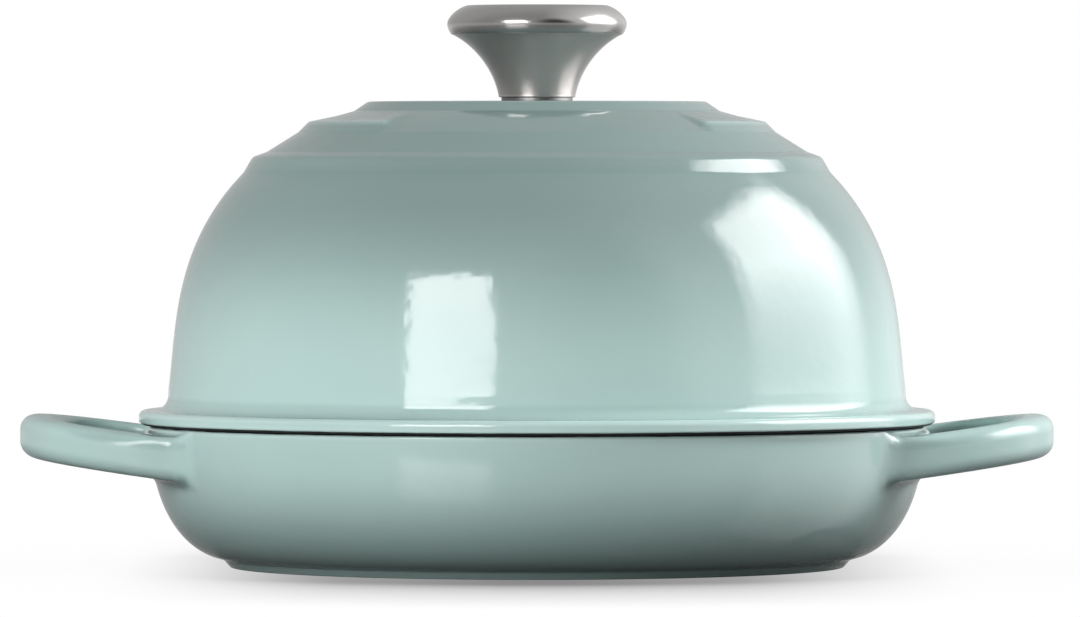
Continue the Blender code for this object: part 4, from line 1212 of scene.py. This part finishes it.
# The ring's steel is darkened below the fasteners' plated steel, as painted shade under the knob's foot.
shaded_ring_steel = turned_steel("ring_shaded_steel", (0.24, 0.24, 0.235, 1), 0.40, 0.003 * MM)
zinc = turned_steel("fastener_zinc", (0.60, 0.61, 0.62, 1), 0.33, 0.004 * MM)
for made, material in ((knob_stem, stem_satin), (knob_cap, satin), (seat_ring, shaded_ring_steel),
                       (flat_washer, zinc), (spring_washer, zinc), (screw, zinc), (insert, zinc)):
    coat(made, material)
print("steel on the knob and its fasteners")

# %% [markdown]
# ## What moves with what
#
# The frame's joints lift the lid and turn it on the rim. Each visible piece rides on the body of the
# solid that it stands for, and is at rest exactly where that solid is.

# %% Riding
def stand_in(made, body, slot, *solids):
    """Let a piece ride on a body in place of its solids. The slot is not used."""
    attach(made, body)
    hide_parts(*solids)


stand_in(dish, "base", "base_enamel", "base")
stand_in(lid, "lid", "lid_enamel", "lid")
stand_in(knob_stem, "lid", "brushed_steel", "knob_stem")
stand_in(knob_cap, "lid", "brushed_steel", "knob_cap")
stand_in(seat_ring, "lid", "plated_steel", "knob_seat_ring")
stand_in(insert, "lid", "plated_steel", "knob_insert")
stand_in(screw, "lid", "plated_steel", "knob_screw")
stand_in(spring_washer, "lid", "plated_steel", "spring_washer")
stand_in(flat_washer, "lid_carrier", "plated_steel", "flat_washer")
print("each piece rides with the solid that it stands for")

# %% [markdown]
# ## Floor
#
# The vessel stands on a white table that runs on into a white backdrop, with only its own soft
# shadow on it. We could light a white floor until it clips, but that light would also bounce up and
# wash out the belly. So what the camera sees is a plain white, darkened where the vessel covers the
# floor's view of the room, which is just what a soft shadow is. It is washed out at both ends, where
# light comes in low from the sides. The lamps see a dull, polished table: little light bounces off
# it, but the belly and the handles mirror the lamps in it. The sheet lies a twentieth of a
# millimetre low, because two faces in one plane, the sheet and the foot, flicker.

# %% Floor
FLOOR_HALF = 6.0
FLOOR_DROP = 0.05 * MM
floor_rings = np.array([0, 0.2, 0.5, 1.2, FLOOR_HALF])
floor_sheet = turned("floor", np.stack([floor_rings, 0 * floor_rings - FLOOR_DROP], -1), 48,
                     closed_outline=False)
print("floor", 2 * FLOOR_HALF, "m across")

# %% [markdown]
# Its material mixes two things. The dull, polished table is a Principled shader, lit by the lamps.
# The white that the camera sees is an Emission, and Ambient Occlusion darkens it by how little of
# the room each place on the floor sees.

# %% The floor's white
SHADOW_REACH = 0.165
SHADOW_POWER = 2.6
SHADOW_DEEPEST = 0.74
SHADOW_ENDS = (0.055, 0.138)       # where along X it starts to fade, and where it has gone
SHADOW_MIDDLE = (0.01, 0.120)
SHADOW_BY_ENDS = 0.75
SHADOW_AT_ENDS = 0.04
FLOOR_BOUNCE = 0.12
FLOOR_MIRRORED = (0.05, 0.60)      # near the vessel, and a metre away

material, tree, shader = start_material("floor_white")
shader.inputs["Base Color"].default_value = (FLOOR_BOUNCE, FLOOR_BOUNCE, FLOOR_BOUNCE, 1)
shader.inputs["Roughness"].default_value = 0.12

open_share = node(tree, "ShaderNodeAmbientOcclusion", {"Distance": SHADOW_REACH}, samples=16).outputs["AO"]
covered = maths(tree, "SUBTRACT", 1.0, maths(tree, "POWER", open_share, SHADOW_POWER))
covered = maths(tree, "MINIMUM", covered, SHADOW_DEEPEST)
parts = node(tree, "ShaderNodeSeparateXYZ", {0: node(tree, "ShaderNodeTexCoord").outputs["Object"]}).outputs
along = maths(tree, "ABSOLUTE", parts[0])
eased = node(tree, "ShaderNodeMapRange",
             {"Value": along, "From Min": SHADOW_ENDS[0], "From Max": SHADOW_ENDS[1],
              "To Min": 1.0, "To Max": SHADOW_AT_ENDS}, interpolation_type="SMOOTHSTEP").outputs["Result"]
keep = maths(tree, "MULTIPLY", remap(tree, along, *SHADOW_MIDDLE, 1.0, SHADOW_BY_ENDS), eased)
glow = node(tree, "ShaderNodeEmission",
            {"Strength": maths(tree, "SUBTRACT", 1.0, maths(tree, "MULTIPLY", covered, keep))})
path = node(tree, "ShaderNodeLightPath").outputs
straight = maths(tree, "MAXIMUM", path["Is Camera Ray"], path["Is Transmission Ray"])
away = node(tree, "ShaderNodeVectorMath",
            {0: node(tree, "ShaderNodeTexCoord").outputs["Object"]}, operation="LENGTH").outputs["Value"]
mirrored = remap(tree, away, 0.3, 1.2, *FLOOR_MIRRORED)
own_white = maths(tree, "MAXIMUM", straight, maths(tree, "MULTIPLY", path["Is Glossy Ray"], mirrored))
both = node(tree, "ShaderNodeMixShader", {0: own_white, 1: shader.outputs[0], 2: glow.outputs[0]})
tree.links.new(both.outputs[0], tree.nodes["Material Output"].inputs["Surface"])
coat(floor_sheet, material)
print("the shadow takes away at most", SHADOW_DEEPEST, "of the floor's white")

# %% [markdown]
# ## Light
#
# The reflections in the lid say where the lights were. A gloss surface mirrors a lamp where the
# surface faces half way between lamp and camera. Worked out for the corners of the two highlights,
# that gives two upright softboxes: a narrow one in front to the left, evenly lit, and a wide one to
# the right that is brightest in its middle. The even glow of the lower dome comes from low, broad
# lights that show no reflection of their own, so these fills carry diffuse light only.

# %% Softboxes
def soften(lamp, near=0.0, far=0.0, top=0.0, foot=1.0, foot_start=0.0, foot_share=0.4):
    """Let an area lamp fade towards its edges. Its strength is a product of ramps in u and v: from
    0 up to 1 over the shares near, far and top at those edges, and from foot up to 1 between
    foot_start and foot_share at the bottom. Of these lamps, u = 0 is the edge of the smaller
    azimuth (near), and v = 0 is the bottom."""
    lamp.use_nodes = True
    tree = lamp.node_tree
    u, v = node(tree, "ShaderNodeSeparateXYZ",
                {0: node(tree, "ShaderNodeNewGeometry").outputs["Parametric"]}).outputs[:2]
    strength = remap(tree, v, foot_start, foot_share, foot, 1.0)
    from_far, from_top = maths(tree, "SUBTRACT", 1.0, u), maths(tree, "SUBTRACT", 1.0, v)
    for place, share in ((u, near), (from_far, far), (from_top, top)):
        if share:
            strength = maths(tree, "MULTIPLY", strength, remap(tree, place, 0.0, share))
    tree.links.new(strength, tree.nodes["Emission"].inputs["Strength"])


def standing_softbox(name, azimuth, half_angle, distance, low, high, radiance, mirrored=True, lean=0.0):
    """An upright rectangular lamp that faces the vessel's axis, seen from there over twice the half
    angle. Azimuth 0 lies on the camera's side and 90 to the right. An area lamp of that brightness
    takes radiance x area x pi of power. A lean in degrees tips it sideways about its middle."""
    az = math.radians(azimuth)
    width = 2 * distance * math.tan(math.radians(half_angle))
    lamp = bpy.data.lights.new(name, "AREA")
    lamp.shape = "RECTANGLE"
    lamp.size, lamp.size_y = width, high - low
    lamp.energy = radiance * width * (high - low) * math.pi
    made = bpy.data.objects.new(name, lamp)
    bpy.context.collection.objects.link(made)
    towards = Vector((math.sin(az), -math.cos(az), 0))
    made.location = towards * distance + Vector((0, 0, (low + high) / 2))
    tip = Quaternion((0, 0, 1), math.radians(lean))
    made.rotation_euler = (towards.to_track_quat("Z", "Y") @ tip).to_euler()
    made.visible_camera = False
    made.visible_glossy = mirrored
    return made


print("1 m2 of softbox at a brightness of 1 takes", round(math.pi, 2), "watts")

# %% [markdown]
# The two mirrored lamps come first, each leaning a little as its highlight does. Most fills stand
# in two rows: the low ones light the belly, and the ones above them the dome.

# %% Lamps
key = standing_softbox("softbox_right", 98, 30, 1.3, 0.02, 1.58, 9.2, lean=-6)
soften(key.data, near=0.15, far=0.24, top=0.18, foot=0.12, foot_start=0.07, foot_share=0.44)
window = standing_softbox("softbox_left_front", -27.6, 13.6, 1.6, 0.25, 0.99, 11.2, lean=8)
soften(window.data, foot=0.62, foot_share=0.9)

FILLS = (
    # name, azimuth, half angle, distance, low, high, radiance
    ("fill_left", -95, 30, 1.5, 0.02, 0.25, 0.8),
    ("fill_left_mid", -95, 30, 1.5, 0.25, 0.60, 3.6),
    ("fill_left_front", -43, 15, 1.6, 0.02, 0.20, 5.2),
    ("fill_left_front_mid", -43, 15, 1.6, 0.20, 0.60, 5.0),
    ("fill_front", -3, 20, 2.0, 0.02, 0.25, 1.5),
    ("fill_front_mid", -3, 20, 2.0, 0.25, 0.65, 2.2),
    ("fill_right", 93, 20, 1.5, 0.60, 1.30, 3.0),
    ("fill_back", 180, 40, 1.5, 0.10, 1.20, 1.2),
)
for fill in FILLS:
    standing_softbox(*fill, mirrored=False)
print(2 + len(FILLS), "lamps")

# %% [markdown]
# ## The room
#
# Gloss also mirrors the room. To the camera the room is plain white, as studio paper is, and so it
# is through glass. In a reflection it is a dimmer grey: lighter at the back, where the backdrop is
# lit, darker in front, where the camera stands, and lighter again towards the wall on the right. A
# tall dark strip stands to the right of the camera, such as an open door or a black screen. It
# gives the knob's polished edge its dark patch. Without such a strip polished metal looks like
# plastic. On everything matte the room throws next to no light, because the lamps do that.

# %% Room
STUDIO_FILL = 0.03
BACKDROP_MIRRORED = 0.56
FRONT_MIRRORED = 0.40
RIGHT_MIRRORED = 0.50              # more towards the wall on the right
DARK_TOWARDS = (0.422, -0.906, 0.0)
DARK_EDGE = (0.88, 0.975)          # cosines of the angles at which it fades in
DARK_FLATTENING = (1, 1, 0.35)     # a direction's height counts for less, which makes it tall
world = bpy.data.worlds.new("studio")
bpy.context.scene.world = world
world.use_nodes = True
tree = world.node_tree
direction = node(tree, "ShaderNodeTexCoord").outputs["Generated"]
parts = node(tree, "ShaderNodeSeparateXYZ", {0: direction}).outputs
mirrored = maths(tree, "ADD", remap(tree, parts[1], -0.25, 0.35, FRONT_MIRRORED, BACKDROP_MIRRORED),
                 remap(tree, parts[0], 0.1, 0.5, 0.0, RIGHT_MIRRORED))
level = node(tree, "ShaderNodeVectorMath", {0: direction, 1: DARK_FLATTENING}, operation="MULTIPLY")
level = node(tree, "ShaderNodeVectorMath", {0: level.outputs[0]}, operation="NORMALIZE")
facing = node(tree, "ShaderNodeVectorMath", {0: level.outputs[0], 1: DARK_TOWARDS},
              operation="DOT_PRODUCT").outputs["Value"]
mirrored = maths(tree, "MULTIPLY", mirrored, remap(tree, facing, *DARK_EDGE, 1.0, 0.0))
path = node(tree, "ShaderNodeLightPath").outputs
seen = maths(tree, "MAXIMUM", path["Is Camera Ray"], path["Is Transmission Ray"])
strength = blend(tree, seen, blend(tree, path["Is Glossy Ray"], STUDIO_FILL, mirrored), 1.0)
background = tree.nodes["Background"]
tree.links.new(strength, background.inputs["Strength"])
background.inputs["Color"].default_value = (1, 1, 1, 1)
print("a room that is white to the camera, and", BACKDROP_MIRRORED, "in its back's reflection")
